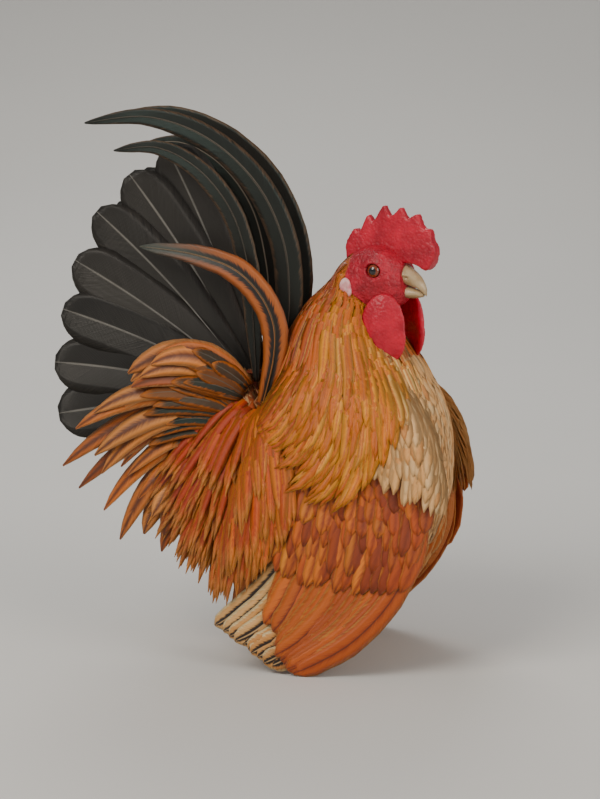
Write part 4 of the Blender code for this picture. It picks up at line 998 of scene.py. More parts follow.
def wing_tier(side, tier, shape, name):
    """One tier of a wing's feathers, laid like roof tiles over its outer face."""
    place = wing_surface(side)
    count, root_a, root_b, tip_a, tip_b, bow, half, lift, lean, stations = tier
    f = np.linspace(0, 1, count)
    vary = luck.uniform(-1, 1, count)
    s = np.linspace(0, 1, stations)
    root_v, root_u = root_a[0] + (root_b[0] - root_a[0]) * f, root_a[1] + (root_b[1] - root_a[1]) * f
    tip_v = tip_a[0] + (tip_b[0] - tip_a[0]) * f + bow * 4 * f * (1 - f) + 0.12 * vary
    tip_u = tip_a[1] + (tip_b[1] - tip_a[1]) * f + 0.02 * luck.uniform(-1, 1, count)
    v = np.minimum(root_v[:, None] + (tip_v - root_v)[:, None] * s, 8.0)
    u = root_u[:, None] + (tip_u - root_u)[:, None] * s ** 1.2
    normals = wing_outward(place, v, u, side)
    rise = -1.3 + (lift + 1.3) * np.minimum(1, s / 0.3) ** 0.7 + 0.25 * vary[:, None] * s
    lines = place(v, u) + normals * rise[..., None] * MM
    lines[..., 2] = np.maximum(lines[..., 2], 0.6 * MM)
    tilt = np.array((math.tan(math.radians(lean)), 0, 0))
    halves = half * (1 + 0.08 * vary[:, None]) * outline_of(shape, stations)
    halves = halves * (1 + 0.05 * luck.uniform(-1, 1, halves.shape))
    zone = np.clip(0.5 + 0.35 * (f - 0.5) + 0.12 * vary, 0, 1)
    return vanes(
        name, lines, unit(normals + tilt), halves, wing_uv(root_v, root_u, side), lot_of(zone), 5, 0.08,
        0.3)


def wing_lining(side):
    """The soft feathers of the wing's inner face, in rows from the shoulder down."""
    place = wing_surface(side)
    u0, v0 = np.meshgrid(np.linspace(0.07, 0.9, 17), np.arange(0.0, 4.6, 0.42))
    u0, v0 = u0.ravel() + luck.uniform(-0.02, 0.02, u0.size), v0.ravel() + luck.uniform(-0.1, 0.1, u0.size)
    s = np.linspace(0, 1, 8)
    v = np.clip(v0[:, None] + luck.uniform(1.3, 1.7, len(v0))[:, None] * s, 0, 8)
    u = np.clip(u0[:, None] + 0.03 * s, 0.03, 0.96)
    normals = wing_outward(place, v, u, side)
    inner = (rows_at(WING, v)[..., 7] + rows_at(WING, v)[..., 6]) * wing_arch(u) + 0.6
    lines = place(v, u) - normals * (inner + 1.3 * np.minimum(1, s / 0.3))[..., None] * MM
    lines[..., 2] = np.maximum(lines[..., 2], 0.6 * MM)
    halves = luck.uniform(4.2, 5.4, len(v0))[:, None] * outline_of(CONTOUR_SHAPE, 8)
    return vanes(
        "lining", lines, -normals, halves, wing_uv(v0, u0, side), lot_of(luck.uniform(0.45, 0.65, len(v0))),
        3, 0.08, 0.25)


def joined(name, meshes):
    """Several meshes as one."""
    shape = bmesh.new()
    for mesh in meshes:
        shape.from_mesh(mesh)
    made = bpy.data.meshes.new(name)
    shape.to_mesh(made)
    shape.free()
    for mesh in meshes:
        bpy.data.meshes.remove(mesh)
    return made


FLOOR_GAP = 0.0001


def clipped(mesh):
    """The mesh with nothing under the floor, and its lowest points a hair over it."""
    co = points_of(mesh)
    co[:, 2] = np.maximum(co[:, 2], FLOOR_GAP)
    mesh.vertices.foreach_set("co", co.ravel())
    mesh.update()
    return mesh


# Primaries: stiff and half glossy, cream at the outer web and black-brown inside, so the fold is striped.
primary_vane = plumage(
    "primary_feather_vane", [(0.0, "#9a5218"), (0.5, "#c88a44"), (1.0, "#deb678")], 95, 6.4, sheen=0.05,
    heart=(0.34, 0.1, "#22130b"), edge=(0.8, 0.1, "#e6c890"), shaft=(0.06, 0.02, "#c9a06a"), roughness=0.42,
    light=0.3)
# Secondaries: bronze-chestnut and satin, darker along the shaft and paler at the outer edge.
secondary_vane = plumage(
    "secondary_feather_vane", [(0.0, "#822c02"), (0.5, "#b04c02"), (1.0, "#ca6a0c")], 95, 8, sheen=0.05,
    heart=(0.16, 0.2, "#8a3004"), edge=(0.88, 0.1, "#c87a26"), shaft=(0.05, 0.02, "#54200a"),
    roughness=0.42, light=0.3)
# Coverts: glossy red-chestnut scales with dark mottled middles and a fine gold rim.
covert_vane = plumage(
    "wing_covert_vane", [
        (0.0, "#742402"), (0.4, "#a64404"), (0.7, "#c46208"),
        (1.0, "#d8861e")], 30, 5, sheen=0.05, jitter=0.6,
    heart=(0.2, 0.3, "#802c02"), edge=(0.9, 0.14, "#cc7414"), roughness=0.46, light=0.4)
VANE_OF = {
    "primaries": primary_vane, "secondaries": secondary_vane,
    "greater_coverts": covert_vane, "lesser_coverts": covert_vane}
SIDES = ((-1, "right"), (1, "left"))

for side, name in SIDES:
    place = wing_surface(side)
    v, u = np.meshgrid(np.linspace(0, 5.2, 40), np.linspace(0.03, 0.93, 30), indexing="ij")
    row = rows_at(WING, v)
    inner = row[..., 7] * wing_arch(u) + 0.8
    front = place(v, u) - wing_outward(place, v, u, side) * 0.5 * MM
    flat = side * (row[..., 2] * (1 - u) + row[..., 5] * u - inner)
    rear = settled(np.stack([bird_x(front), flat, front[..., 2] / MM], -1))
    plate = np.concatenate([front, rear[:, ::-1]], 1)
    caps = [np.repeat(plate[end].mean(0)[None], plate.shape[1], 0)[None] for end in (0, -1)]
    plate = np.concatenate([caps[0], plate, caps[1]])
    quads = grid_quads(*plate.shape[:2])
    flat_uv = np.concatenate([wing_uv(v, u, side), wing_uv(v, u, side)[:, ::-1]], 1)
    flat_uv = np.concatenate([flat_uv[:1], flat_uv, flat_uv[-1:]])
    lots = np.tile((0.5, 0.5, 0.0, 1.0), (plate.shape[0] * plate.shape[1], 1))
    mesh = quad_mesh(
        "wing_plate_" + name, plate, quads if side > 0 else quads[:, ::-1], {"OFBake": flat_uv}, lots)
    add_piece("wing_plate_" + name, mesh, hide, "plumage", "wing_" + name)
    for kind, tiers in WING_TIERS.items():
        shape = QUILL_SHAPE if kind in ("primaries", "secondaries") else SCALE_SHAPE
        made = [wing_tier(side, tier, shape, kind) for tier in tiers]
        mesh = clipped(joined(f"{kind}_{name}", made))
        add_piece(f"{kind}_{name}", mesh, VANE_OF[kind], "plumage")
    add_piece("wing_lining_" + name, clipped(wing_lining(side)), contour_vane, "plumage")

# The hackle: a cape of long pointed silky feathers round the neck, gold with
# orange middles, deep red at the back, draped over shoulders and breast.

def underlay(sheets):
    """A search tree of the surfaces that long feathers are draped over."""
    points, quads, start = [], [], 0
    for sheet in sheets:
        rows, columns = sheet.shape[:2]
        points.append(sheet.reshape(-1, 3))
        quads.append(grid_quads(rows, columns, start, closed=False))
        start += rows * columns
    return BVHTree.FromPolygons(np.concatenate(points).tolist(), np.concatenate(quads).tolist())


# How far over a point its search starts, in metres.
SEARCH = 0.05


def height_over(tree, points, ways):
    """How far out along each way the surfaces stand over the points, in mm, 0 where none does."""
    found = np.zeros(points.shape[:-1])
    for place in np.ndindex(found.shape):
        way = Vector(ways[place])
        hit = tree.ray_cast(Vector(points[place]) + way * SEARCH, -way, SEARCH)
        if hit[0] is not None:
            found[place] = (SEARCH - hit[3]) / MM
    return found


def evened(values, axis, rounds, around=False):
    """The values softened along one axis by so many rounds of averaging with their neighbours."""
    for _ in range(rounds):
        before, after = np.roll(values, 1, axis), np.roll(values, -1, axis)
        if not around:
            first, last = [slice(None)] * values.ndim, [slice(None)] * values.ndim
            first[axis], last[axis] = 0, -1
            before[tuple(first)], after[tuple(last)] = values[tuple(first)], values[tuple(last)]
        values = (before + 2 * values + after) / 4
    return values


body_t, body_angle = np.meshgrid(np.linspace(0.2, 13, 60), np.linspace(-180, 180, 73), indexing="ij")
body_sheet = trunk_place(body_t, body_angle) + outward(trunk_place, body_t, body_angle) * 0.8 * MM
wing_v, wing_u = np.meshgrid(np.linspace(0, 8, 40), np.linspace(-0.02, 1.02, 30), indexing="ij")
wing_sheets = []
for side in (-1, 1):
    place = wing_surface(side)
    lift = np.interp(wing_v, (0, 1, 2.5, 4.5, 6, 8), (7.6, 7.4, 6.2, 4.2, 2.8, 0.8))
    wing_sheets.append(
        place(wing_v, wing_u) + wing_outward(place, wing_v, wing_u, side) * lift[..., None] * MM)
saddle_tree = underlay([body_sheet] + wing_sheets)

# How far the wings' shoulders hold the cape off the body, as one soft slope from neck and breast to wing.
CAPE_T = np.linspace(4.0, 14.0, 81)
CAPE_ANGLES = np.linspace(-180, 180, 121)[:-1]
cape_t, cape_angle = np.meshgrid(CAPE_T, CAPE_ANGLES, indexing="ij")
cape_lift = height_over(
    underlay(wing_sheets), trunk_place(cape_t, cape_angle), outward(trunk_place, cape_t, cape_angle))
for axis, reach in ((0, 2), (1, 4)):
    cape_lift = np.max([np.roll(cape_lift, k, axis) for k in range(-reach, reach + 1)], 0)
cape_lift = evened(evened(cape_lift, 0, 14), 1, 10, True)


def held_off(t, angle):
    """The cape's height over the body at each place, in millimetres."""
    row = np.clip((t - CAPE_T[0]) / (CAPE_T[1] - CAPE_T[0]), 0, len(CAPE_T) - 1.001)
    column = (angle + 180) % 360 / 3.0
    r, k = row.astype(int), column.astype(int)
    f, g = row - r, column - k
    nxt = (k + 1) % len(CAPE_ANGLES)
    near = cape_lift[r, k] * (1 - g) + cape_lift[r, nxt] * g
    far = cape_lift[r + 1, k] * (1 - g) + cape_lift[r + 1, nxt] * g
    return (near * (1 - f) + far * f) * (1 - smooth(12.2, 12.8, t))


HACKLE_LENGTHS = ((0, 42), (30, 46), (60, 54), (80, 62), (92, 60), (105, 42), (120, 33), (150, 28), (180, 26))
HACKLE_LOWEST = ((0, 9.3), (92, 9.3), (104, 9.9), (120, 11.0), (180, 11.6))
HACKLE_SHAPE = [(0, 0.45), (0.2, 0.85), (0.5, 1.0), (0.78, 0.84), (0.92, 0.5), (1, 0.06)]
root_t, root_angle = scattered(trunk_place, 9.3, 15.4, 3.4)
root_angle = (root_angle + 180) % 360 - 180
around = np.abs(root_angle)
keep = (
    root_t < np.interp(around, *zip(*FACE_EDGE)) + 0.1) & (root_t > np.interp(around, *zip(*HACKLE_LOWEST)))
root_t, root_angle, around = root_t[keep], root_angle[keep], around[keep]
share = np.interp(root_t, (9.3, 11.0, 12.5, 13.6, 15.3), (1.0, 0.86, 0.6, 0.36, 0.16))
lengths = np.maximum(
    np.interp(around, *zip(*HACKLE_LENGTHS)) * share, 12) * luck.uniform(0.88, 1.08, len(root_t))
halves = np.interp(root_t, (9.3, 12.5, 15.3), (3.6, 2.9, 1.6)) * luck.uniform(0.85, 1.15, len(root_t))
HACKLE_STATIONS = 9
s = np.linspace(0, 1, HACKLE_STATIONS)
fan = luck.normal(0, 0.9, len(root_t))
ts, angles = lay_down(trunk_place, root_t, root_angle, lengths, HACKLE_STATIONS, fan)
points = trunk_place(ts, angles)
normals = outward(trunk_place, ts, angles)
clear = np.interp(root_t, (9.3, 12.0, 13.2, 14.2), (1.2, 3.0, 1.8, 0.9)) - 1.2 * smooth(105, 130, around)
clear = clear + luck.uniform(0, 0.5, len(root_t))
clear = clear - 2.6 * smooth(88, 110, around) * smooth(11.0, 12.2, root_t)
points = points + normals * (held_off(ts, angles) + clear[:, None])[..., None] * MM
sunk = -3.2 * (1 - smooth(12.7, 13.7, root_t)) - 1.4
points = points + normals * ((1 - np.minimum(1, s / 0.22))[None] * sunk[:, None])[..., None] * MM
across_way = unit(np.cross(normals, np.gradient(points, axis=1)))
lean = unit(normals + across_way * np.radians(luck.normal(0, 5, len(root_t)))[:, None, None])
wide = halves[:, None] * outline_of(HACKLE_SHAPE, HACKLE_STATIONS)
zone = np.clip(
    0.1 + 0.5 * smooth(20, 80, around) + 0.38 * smooth(92, 135, around) - 0.12 * smooth(12, 14, root_t), 0,
    1)

# Hackle feathers: narrow, silky and glossy, with fringed gold edges round a burnt orange middle.
hackle_vane = plumage(
    "hackle_feather_vane",
    [(0.0, "#7a2202"), (0.3, "#b24a02"), (0.55, "#cf6e04"), (0.75, "#df8e18"), (1.0, "#e8ba6c")], 62, 3.2,
    heart=(0.16, 0.26, "#b05206"), edge=(0.78, 0.24, "#e29a30"), roughness=0.4, sheen=0.08, light=0.35,
    jitter=0.42, Sheen_Tint=colour("#e09a40"), Anisotropic=0.4)
hackle = vanes("neck_hackle", points, lean, wide, skin_uv(root_t, root_angle), lot_of(zone), 3, 0.12, 0.2)
add_piece("neck_hackle", hackle, hackle_vane, "hackle", "neck")

# Round the bare face the hackle begins with fine short feathers, the smallest on the bird.
# They stand in rows at these distances along TRUNK from the face's edge.
EDGE_ROWS = (0.12, -0.04, -0.2, -0.36)
EDGE_EACH = 130
EDGE_STATIONS = 6
count = EDGE_EACH * len(EDGE_ROWS)
edge_angle = np.concatenate([
    np.linspace(-180, 180, EDGE_EACH) + luck.uniform(-1.5, 1.5, EDGE_EACH) for _ in EDGE_ROWS])
edge_t = np.interp(np.abs(edge_angle), *zip(*FACE_EDGE)) + np.repeat(EDGE_ROWS, EDGE_EACH)
edge_t = edge_t + luck.uniform(-0.06, 0.06, count)
lengths = luck.uniform(6, 8.5, count)
ts, angles = lay_down(trunk_place, edge_t, edge_angle, lengths, EDGE_STATIONS, luck.normal(0, 1.0, count))
normals = outward(trunk_place, ts, angles)
risen = np.minimum(1, np.linspace(0, 1, EDGE_STATIONS) / 0.4)
rise = (0.2 + luck.uniform(0, 0.5, count)[:, None]) * risen - 0.7 * (1 - risen)
lines = trunk_place(ts, angles) + normals * rise[..., None] * MM
wide = luck.uniform(0.9, 1.4, count)[:, None] * outline_of(HACKLE_SHAPE, EDGE_STATIONS)
zone = np.clip(0.2 + 0.3 * smooth(20, 90, np.abs(edge_angle)), 0, 1)
roots = skin_uv(edge_t, edge_angle)
mesh = vanes("face_edge_feathers", lines, normals, wide, roots, lot_of(zone), 3, 0.15, 0.15)
add_piece("face_edge_feathers", mesh, hackle_vane, "hackle")

# The ruff: rounder cream feathers from the breast's sides, laid over the wings' shoulders below the hackle.
root_t, root_angle = scattered(trunk_place, 8.7, 11.8, 3.2)
around = np.abs(root_angle)
keep = around > np.interp(root_t, (8.9, 10.4, 11.8), (98, 96, 104))
root_t, root_angle = root_t[keep], root_angle[keep]
RUFF_STATIONS = 7
count = len(root_t)
lengths = luck.uniform(19, 24, count)
ts, angles = lay_down(trunk_place, root_t, root_angle, lengths, RUFF_STATIONS, luck.normal(0, 1.2, count))
normals = outward(trunk_place, ts, angles)
s = np.linspace(0, 1, RUFF_STATIONS)
rise = held_off(ts, angles) + luck.uniform(-0.1, 0.2, count)[:, None] + s - (1 - np.minimum(1, s / 0.3)) * 3.4
ruff = trunk_place(ts, angles) + normals * rise[..., None] * MM
wide = luck.uniform(2.9, 4.0, count)[:, None] * outline_of(CONTOUR_SHAPE, RUFF_STATIONS)
zone = np.clip(0.86 + luck.normal(0, 0.06, count), 0, 1)
mesh = vanes("breast_ruff", ruff, normals, wide, skin_uv(root_t, root_angle), lot_of(zone), 3, 0.09, 0.2)
add_piece("breast_ruff", mesh, contour_vane, "plumage")

# The saddle: narrow pointed feathers that leave the back and stream down over
# the wings and flanks, fiery red-orange with paler tips.

SADDLE = [
    ((6.4, 62), (1.7, 66), [(-20, 62, 88), (-60, 62, 44), (-112, 40, 86)], 9, 0.0),
    ((6.0, 48), (1.6, 52), [(-24, 60, 100), (-60, 62, 56), (-110, 40, 96)], 10, 1.2),
    ((5.6, 36), (1.5, 36), [(-30, 57, 116), (-62, 60, 76), (-104, 38, 110)], 10, 2.4),
    ((5.2, 22), (1.4, 20), [(-36, 50, 132), (-64, 54, 98), (-96, 32, 126)], 10, 3.6),
]
SADDLE_SHAPE = [(0, 0.45), (0.2, 0.85), (0.55, 1.0), (0.8, 0.82), (0.92, 0.5), (1, 0.06)]
SADDLE_EACH = 150
SADDLE_STATIONS = 12


def saddle_side(side):
    """One side's saddle feathers: lines, roots as t and angle, places along the fan, and heights."""
    lines, ts, angles, fans, heights = [], [], [], [], []
    s = np.linspace(0, 1, SADDLE_STATIONS)[:, None]
    for root_a, root_b, tips, swell, height in SADDLE:
        for f in np.sort(luck.random(SADDLE_EACH)):
            t = root_a[0] + (root_b[0] - root_a[0]) * f + luck.uniform(-0.25, 0.25)
            angle = root_a[1] + (root_b[1] - root_a[1]) * f + luck.uniform(-9, 9)
            start = trunk_place(t, side * angle) - outward(trunk_place, t, side * angle) * 2.5 * MM
            tip = rows_at(tips, 2 * f) + (luck.uniform(-4, 4), luck.uniform(-2, 2), luck.uniform(-6, 6))
            end = settled((tip[0], side * tip[1], tip[2]))
            middle = start + (end - start) * 0.42 + np.array((0, side * swell, 1.1 * swell)) * MM
            lines.append(start * (1 - s) ** 2 + middle * 2 * s * (1 - s) + end * s ** 2)
            ts.append(t)
            angles.append(side * angle)
            fans.append(f)
            heights.append(height + luck.uniform(0, 0.9))
    return np.array(lines), np.array(ts), np.array(angles), np.array(fans), np.array(heights)


# Saddle feathers: silky and glossy, dark red at the rear, bright orange in front, buff at their fine tips.
saddle_vane = plumage(
    "saddle_feather_vane",
    [(0.0, "#641602"), (0.3, "#9c2c02"), (0.6, "#c04e04"), (0.85, "#d6740e"), (1.0, "#e09a44")], 85, 3.3,
    heart=(0.14, 0.24, "#9e3203"), edge=(0.8, 0.22, "#d27414"), tip=(0.93, 0.1, "#d28838"), roughness=0.44,
    sheen=0.08, light=0.4, Sheen_Tint=colour("#dc8030"), Anisotropic=0.4)
for side, name in SIDES:
    lines, ts, angles, fans, heights = saddle_side(side)
    ways = np.broadcast_to(unit(np.array((0, side, 0.3))), lines.shape)
    heights = heights * (0.3 + 0.7 * smooth(0, 0.3, fans)) + 0.5
    pushed = np.maximum(height_over(saddle_tree, lines, ways), 0) + heights[:, None]
    pushed[:, :2] = 0
    lines = lines + ways * evened(pushed, 1, 3)[..., None] * MM
    lines[..., 2] = np.maximum(lines[..., 2], 2 * MM)
    along = unit(np.gradient(lines, axis=1))
    normals = unit(ways - along * (ways * along).sum(-1, keepdims=True))
    across_way = np.cross(normals, along)
    lean = unit(normals + across_way * np.radians(luck.normal(0, 6, len(lines)))[:, None, None])
    wide = luck.uniform(2.7, 3.8, len(lines))[:, None] * outline_of(SADDLE_SHAPE, SADDLE_STATIONS)
    zone = np.clip(0.75 - 0.6 * fans + luck.normal(0, 0.08, len(lines)), 0, 1)
    mesh = vanes("saddle_" + name, lines, lean, wide, skin_uv(ts, angles), lot_of(zone), 3, 0.12, 0.2)
    add_piece("saddle_" + name, mesh, saddle_vane, "hackle")

# The tail: fourteen broad main feathers in an upright fan, black with a faint
# gloss, and three pairs of arched sickles over them.

RETRICES = [(76, 147), (66, 144), (55, 139), (43, 130), (31, 122), (17, 117), (3, 112)]
RETRIX_ROOT = (-57, 156)
RETRIX_HALF = 16.5
RETRIX_DROOP = 14
RETRIX_SHAPE = [
    (0, 0.25), (0.2, 0.55), (0.5, 0.92), (0.7, 1.0), (0.84, 0.99), (0.88, 0.96), (0.91, 0.9), (0.94, 0.79),
    (0.97, 0.6), (0.99, 0.4), (1, 0.25)]
RETRIX_STATIONS = 36


def shaft_rod(lines, normals, radius, name, root_uv):
    """The pale quill along a feather's middle, a fine rod that tapers to the tip."""
    count, stations = lines.shape[:2]
    along = unit(np.gradient(lines, axis=1))
    side = unit(np.cross(normals, along))
    up = np.cross(along, side)
    around = np.linspace(0, 2 * np.pi, 5)[:-1]
    size = radius * np.linspace(1, 0.15, stations)[None, :, None, None] * MM
    rings = lines[:, :, None] + (
        side[:, :, None] * np.cos(around)[:, None] + up[:, :, None] * np.sin(around)[:, None]) * size
    one = np.concatenate(
        [grid_quads(stations, 4), [(0, 1, 2, 3)], [tuple((stations - 1) * 4 + k for k in (3, 2, 1, 0))]])
    quads = (one[None] + (np.arange(count) * stations * 4)[:, None, None]).reshape(-1, 4)
    u, v = np.meshgrid(np.linspace(0, 1, 4), np.linspace(0, 1, stations))
    uv = np.broadcast_to(np.stack([u, v], -1), (count, stations, 4, 2))
    bake = np.clip(root_uv[:, None, None] + 0.003 * (uv - 0.5), 0.001, 0.999)
    lots = np.ones((count * stations * 4, 4), np.float32)
    return quad_mesh(name, rings, quads, {"OFBake": bake, "Vane": uv}, lots)


def retrices(side):
    """The main tail feathers of one side as lines and normals, the top pair nearly upright."""
    s = np.linspace(0, 1, RETRIX_STATIONS)
    lines, normals = [], []
    for k, (steep, length) in enumerate(RETRICES):
        start = np.array((RETRIX_ROOT[0], side * (2.2 + 1.5 * k), RETRIX_ROOT[1] - 1.5 * k))
        angle = np.radians(steep - RETRIX_DROOP * (s[1:] + s[:-1]) / 2)
        spread = (5 + 3.0 * k) / length
        steps = np.stack(
            [-np.cos(angle), np.full(len(angle), side * spread), np.sin(angle)], -1) * (length / len(angle))
        steps[:, 1] += side * 0.02 * (s[1:] - 0.5) * k
        lines.append(settled(start + np.concatenate([[(0, 0, 0)], np.cumsum(steps, 0)])))
        normals.append(np.broadcast_to(unit(np.array((0.05, side, 0.10 + 0.02 * k))), (len(s), 3)))
    return np.array(lines), np.array(normals)


# Main tail feathers: black and hard with a faint gloss, the shaft horn-grey.
tail_vane = plumage(
    "tail_feather_vane", [(0.0, "#121110"), (0.5, "#1c1a18"), (1.0, "#282522")], 130, 16.5,
    edge=(0.86, 0.1, "#322e2a"), shaft=(
        0.035, 0.012, "#6c6860"), roughness=0.38, sheen=0.0, light=0.3, jitter=0.5,
    Specular_Tint=colour("#dcd8d0"), Coat_Weight=0.08, Coat_Roughness=0.35)
quill_horn, shader = new_material("quill_horn")
where = add_node(quill_horn, "ShaderNodeTexCoord")
cloud = add_node(
    quill_horn, "ShaderNodeTexNoise", {"Vector": where.outputs["Object"], "Scale": 200.0, "Detail": 2.0})
quill = add_node(quill_horn, "ShaderNodeValToRGB", {"Fac": cloud.outputs["Fac"]})
quill.color_ramp.elements[0].color, quill.color_ramp.elements[1].color = colour("#45423c"), colour("#84807a")
set_inputs(quill_horn, shader, Base_Color=quill.outputs["Color"], Roughness=0.3)

made, rods = [], []
for side in (-1, 1):
    lines, normals = retrices(side)
    halves = RETRIX_HALF * outline_of(
        RETRIX_SHAPE, RETRIX_STATIONS) * luck.uniform(0.96, 1.04, (len(lines), 1))
    halves = halves * (1 + 0.012 * luck.uniform(-1, 1, halves.shape))
    roots = skin_uv(np.full(len(lines), 0.7), side * np.linspace(8, 60, len(lines)))
    made.append(
        vanes("retrices", lines, normals, halves, roots, lot_of(luck.random(len(lines))), 7, 0.05, 0.4))
    rods.append(shaft_rod(lines + normals * 0.75 * MM, normals, 0.75, "quills", roots))
add_piece("tail_retrices", joined("tail_retrices", made), tail_vane, "black_feather", "tail")
add_piece("tail_quills", joined("tail_quills", rods), quill_horn, "black_feather")

SICKLES = {
    "sickle": (
        [
            (-46, 158), (-38, 185), (-35.5, 212), (-39, 243), (-54, 274), (-82, 299), (-118, 311),
            (-156, 307)], 8, 17, 8.5),
    "second_sickle": (
        [(-54, 160), (-55, 190), (-57, 222), (-66, 256), (-85, 281), (-110, 294), (-136, 292)], 15, 24,
        6.5),
    "lesser_sickle": ([(-52, 134), (-41, 176), (-43, 202), (-60, 224), (-86, 234), (-119, 238)], 22, 30, 8.0),
}
SICKLE_STATIONS = 40
SICKLE_SHAPE = [(0, 0.2), (0.14, 0.7), (0.3, 1.0), (0.6, 0.98), (0.8, 0.75), (0.92, 0.42), (1, 0.06)]


def sickle_line(path, root_y, tip_y, side):
    """A long arched feather's line through its path, and its upright vane's normals."""
    s = np.linspace(0, 1, SICKLE_STATIONS)
    xz = rows_at(path, s * (len(path) - 1))
    y = side * (root_y + (tip_y - root_y) * s)
    lines = settled(np.stack([xz[:, 0], y, xz[:, 1]], -1))[None]
    return lines, np.broadcast_to(unit(np.array((0.0, side, 0.1))), lines.shape)


# Sickles: black-brown and soft-edged with a thin tawny rim and a faint green gloss.
sickle_vane = plumage(
    "sickle_feather_vane", [(0.0, "#17110e"), (0.5, "#211a17"), (1.0, "#2a2320")], 210, 8,
    edge=(0.84, 0.1, "#5e4634"), shaft=(0.06, 0.02, "#8c7c6c"), roughness=0.4, sheen=0.0, light=0.25,
    Specular_Tint=colour("#a8d0c6"), Coat_Weight=0.15, Coat_Roughness=0.3)
# Lesser sickles: tawny orange round a long black stripe, greyer at the tip.
lesser_vane = plumage(
    "lesser_sickle_vane", [(0.0, "#8a4010"), (0.5, "#a8581c"), (1.0, "#bb7434")], 130, 8,
    heart=(0.42, 0.14, "#17110c"), tip=(0.78, 0.2, "#40443c"), shaft=(0.06, 0.02, "#a88a60"), roughness=0.4,
    sheen=0.0, light=0.25)
for side, name in SIDES:
    for kind, (path, root_y, tip_y, half) in SICKLES.items():
        lines, normals = sickle_line(path, root_y, tip_y, side)
        ragged = 1 + 0.03 * luck.uniform(-1, 1, (1, SICKLE_STATIONS))
        halves = half * outline_of(SICKLE_SHAPE, SICKLE_STATIONS)[None] * ragged
        roots = skin_uv(np.array([0.8]), np.array([side * root_y * 2.0]))
        made = vanes(kind, lines, normals, halves, roots, lot_of(np.array([0.5])), 7, 0.06, 0.35)
        rod = shaft_rod(lines + normals * 0.6 * MM, normals, 0.6, "quill", roots)
        mesh = joined(f"{kind}_{name}_vane", [made, rod])
        surface, slot = (lesser_vane, "covert") if kind == "lesser_sickle" else (sickle_vane, "black_feather")
        add_piece(f"{kind}_{name}_vane", mesh, surface, slot, f"{kind}_{name}")

# The side hangers and tail coverts: soft bronze feathers with dark middles
# that spring from each side of the tail's root, arch back and hang.

HANGERS = [
    (
        (-57, 158), (-90, 178), (-122, 164), 15,
        42), ((-58, 157), (-92, 176), (-124, 160), 17, 44), ((-60, 152), (-94, 164), (-129, 148), 20, 46),
    ((-62, 148), (-112, 158), (-157, 128), 23, 50), ((-63, 142), (-110, 144), (-160, 104), 26, 48),
    ((-64, 136), (-108, 132), (-154, 84), 28, 46), ((-66, 130), (-104, 118), (-140, 74), 30, 44),
    ((-66, 122), (-98, 104), (-120, 66), 32, 46), ((-66, 114), (-92, 92), (-104, 62), 33, 46)]
HANGER_SHAPE = [(0, 0.35), (0.2, 0.8), (0.45, 1.0), (0.72, 0.88), (0.9, 0.55), (1, 0.08)]
HANGER_STATIONS = 14


def hangers(side, count, shorter, out):
    """The arched lines of one side's hangers, from their roots beside the tail."""
    place = np.clip(
        np.linspace(0, len(HANGERS) - 1, count) + luck.uniform(-0.15, 0.15, count), 0, len(HANGERS) - 1)
    rows = rows_at([(*a, *b, *c, y0, y1) for a, b, c, y0, y1 in HANGERS], place)
    s = np.linspace(0, 1, HANGER_STATIONS)
    share = luck.uniform(*shorter, count)
    lines = []
    for row, part in zip(rows, share):
        root, crest, tip = row[0:2], row[2:4] + luck.uniform(-3, 3, 2), row[4:6] + luck.uniform(-4, 4, 2)
        bend = 4 * s * (1 - s)
        xz = root + np.outer(s, tip - root) + np.outer(bend, crest - (root + tip) / 2)
        y = row[6] + (row[7] - row[6]) * s ** 0.7 + luck.uniform(-2, 2) * s + out
        line = np.stack([xz[:, 0], side * y, xz[:, 1]], -1)
        walked = np.linspace(0, part, HANGER_STATIONS)
        lines.append(np.stack([np.interp(walked, s, line[:, k]) for k in range(3)], -1))
    return settled(np.array(lines)), place


# Hangers: satin bronze-orange at the edges and dark brown down the middle.
hanger_vane = plumage(
    "side_hanger_vane", [(0.0, "#8f420c"), (0.5, "#b86018"), (1.0, "#cc8038")], 100, 7,
    heart=(0.3, 0.3, "#5a2a0c"), edge=(0.86, 0.14, "#d08a44"), roughness=0.42, sheen=0.05, light=0.35,
    jitter=0.8)
# Tail coverts: small glossy black feathers with an orange rim, over the roots of the main tail.
tail_covert_vane = plumage(
    "tail_covert_vane", [(0.0, "#1a1613"), (0.5, "#33281f"), (1.0, "#6e3c18")], 55, 6,
    edge=(0.7, 0.14, "#ae5c1c"), tip=(0.9, 0.08, "#a85c1c"), shaft=(
        0.05, 0.02, "#5c5248"), roughness=0.4, sheen=0.0, light=0.35,
    Specular_Tint=colour("#a8d0c6"))
# From the inside out: how many a side, how much of its length each has, how far out, and half its width.
HANGER_LAYERS = (
    ("hangers", 11, (0.9, 1.0), 0.0, 7.8, hanger_vane),
    ("short_hangers", 11, (0.72, 0.9), 2.4, 7.2, hanger_vane),
    ("tail_coverts", 26, (0.3, 0.55), 4.6, 5.6, tail_covert_vane))
for side, name in SIDES:
    for label, count, shorter, out, half, surface in HANGER_LAYERS:
        lines, place = hangers(side, count, shorter, out)
        ways = unit(np.array((0.0, side, 0.45)))
        normals = np.broadcast_to(ways, lines.shape) + luck.normal(0, 0.12, (count, 1, 3))
        halves = luck.uniform(0.8, 1.1, count)[:, None] * half * outline_of(HANGER_SHAPE, HANGER_STATIONS)
        roots = skin_uv(np.full(count, 1.1), side * (30 + 70 * place / 8))
        mesh = vanes(
            "hangers", lines, unit(normals), halves, roots, lot_of(luck.random(count)), 5, 0.12, 0.25)
        nodes = [f"coverts_{name}"] if label == "hangers" else []
        add_piece(f"{label}_{name}", mesh, surface, "covert", *nodes)

# The legs: very short, feathered thighs in buff down, and yellow shanks with
# rows of plates in front, three toes before and one behind, and horn claws.

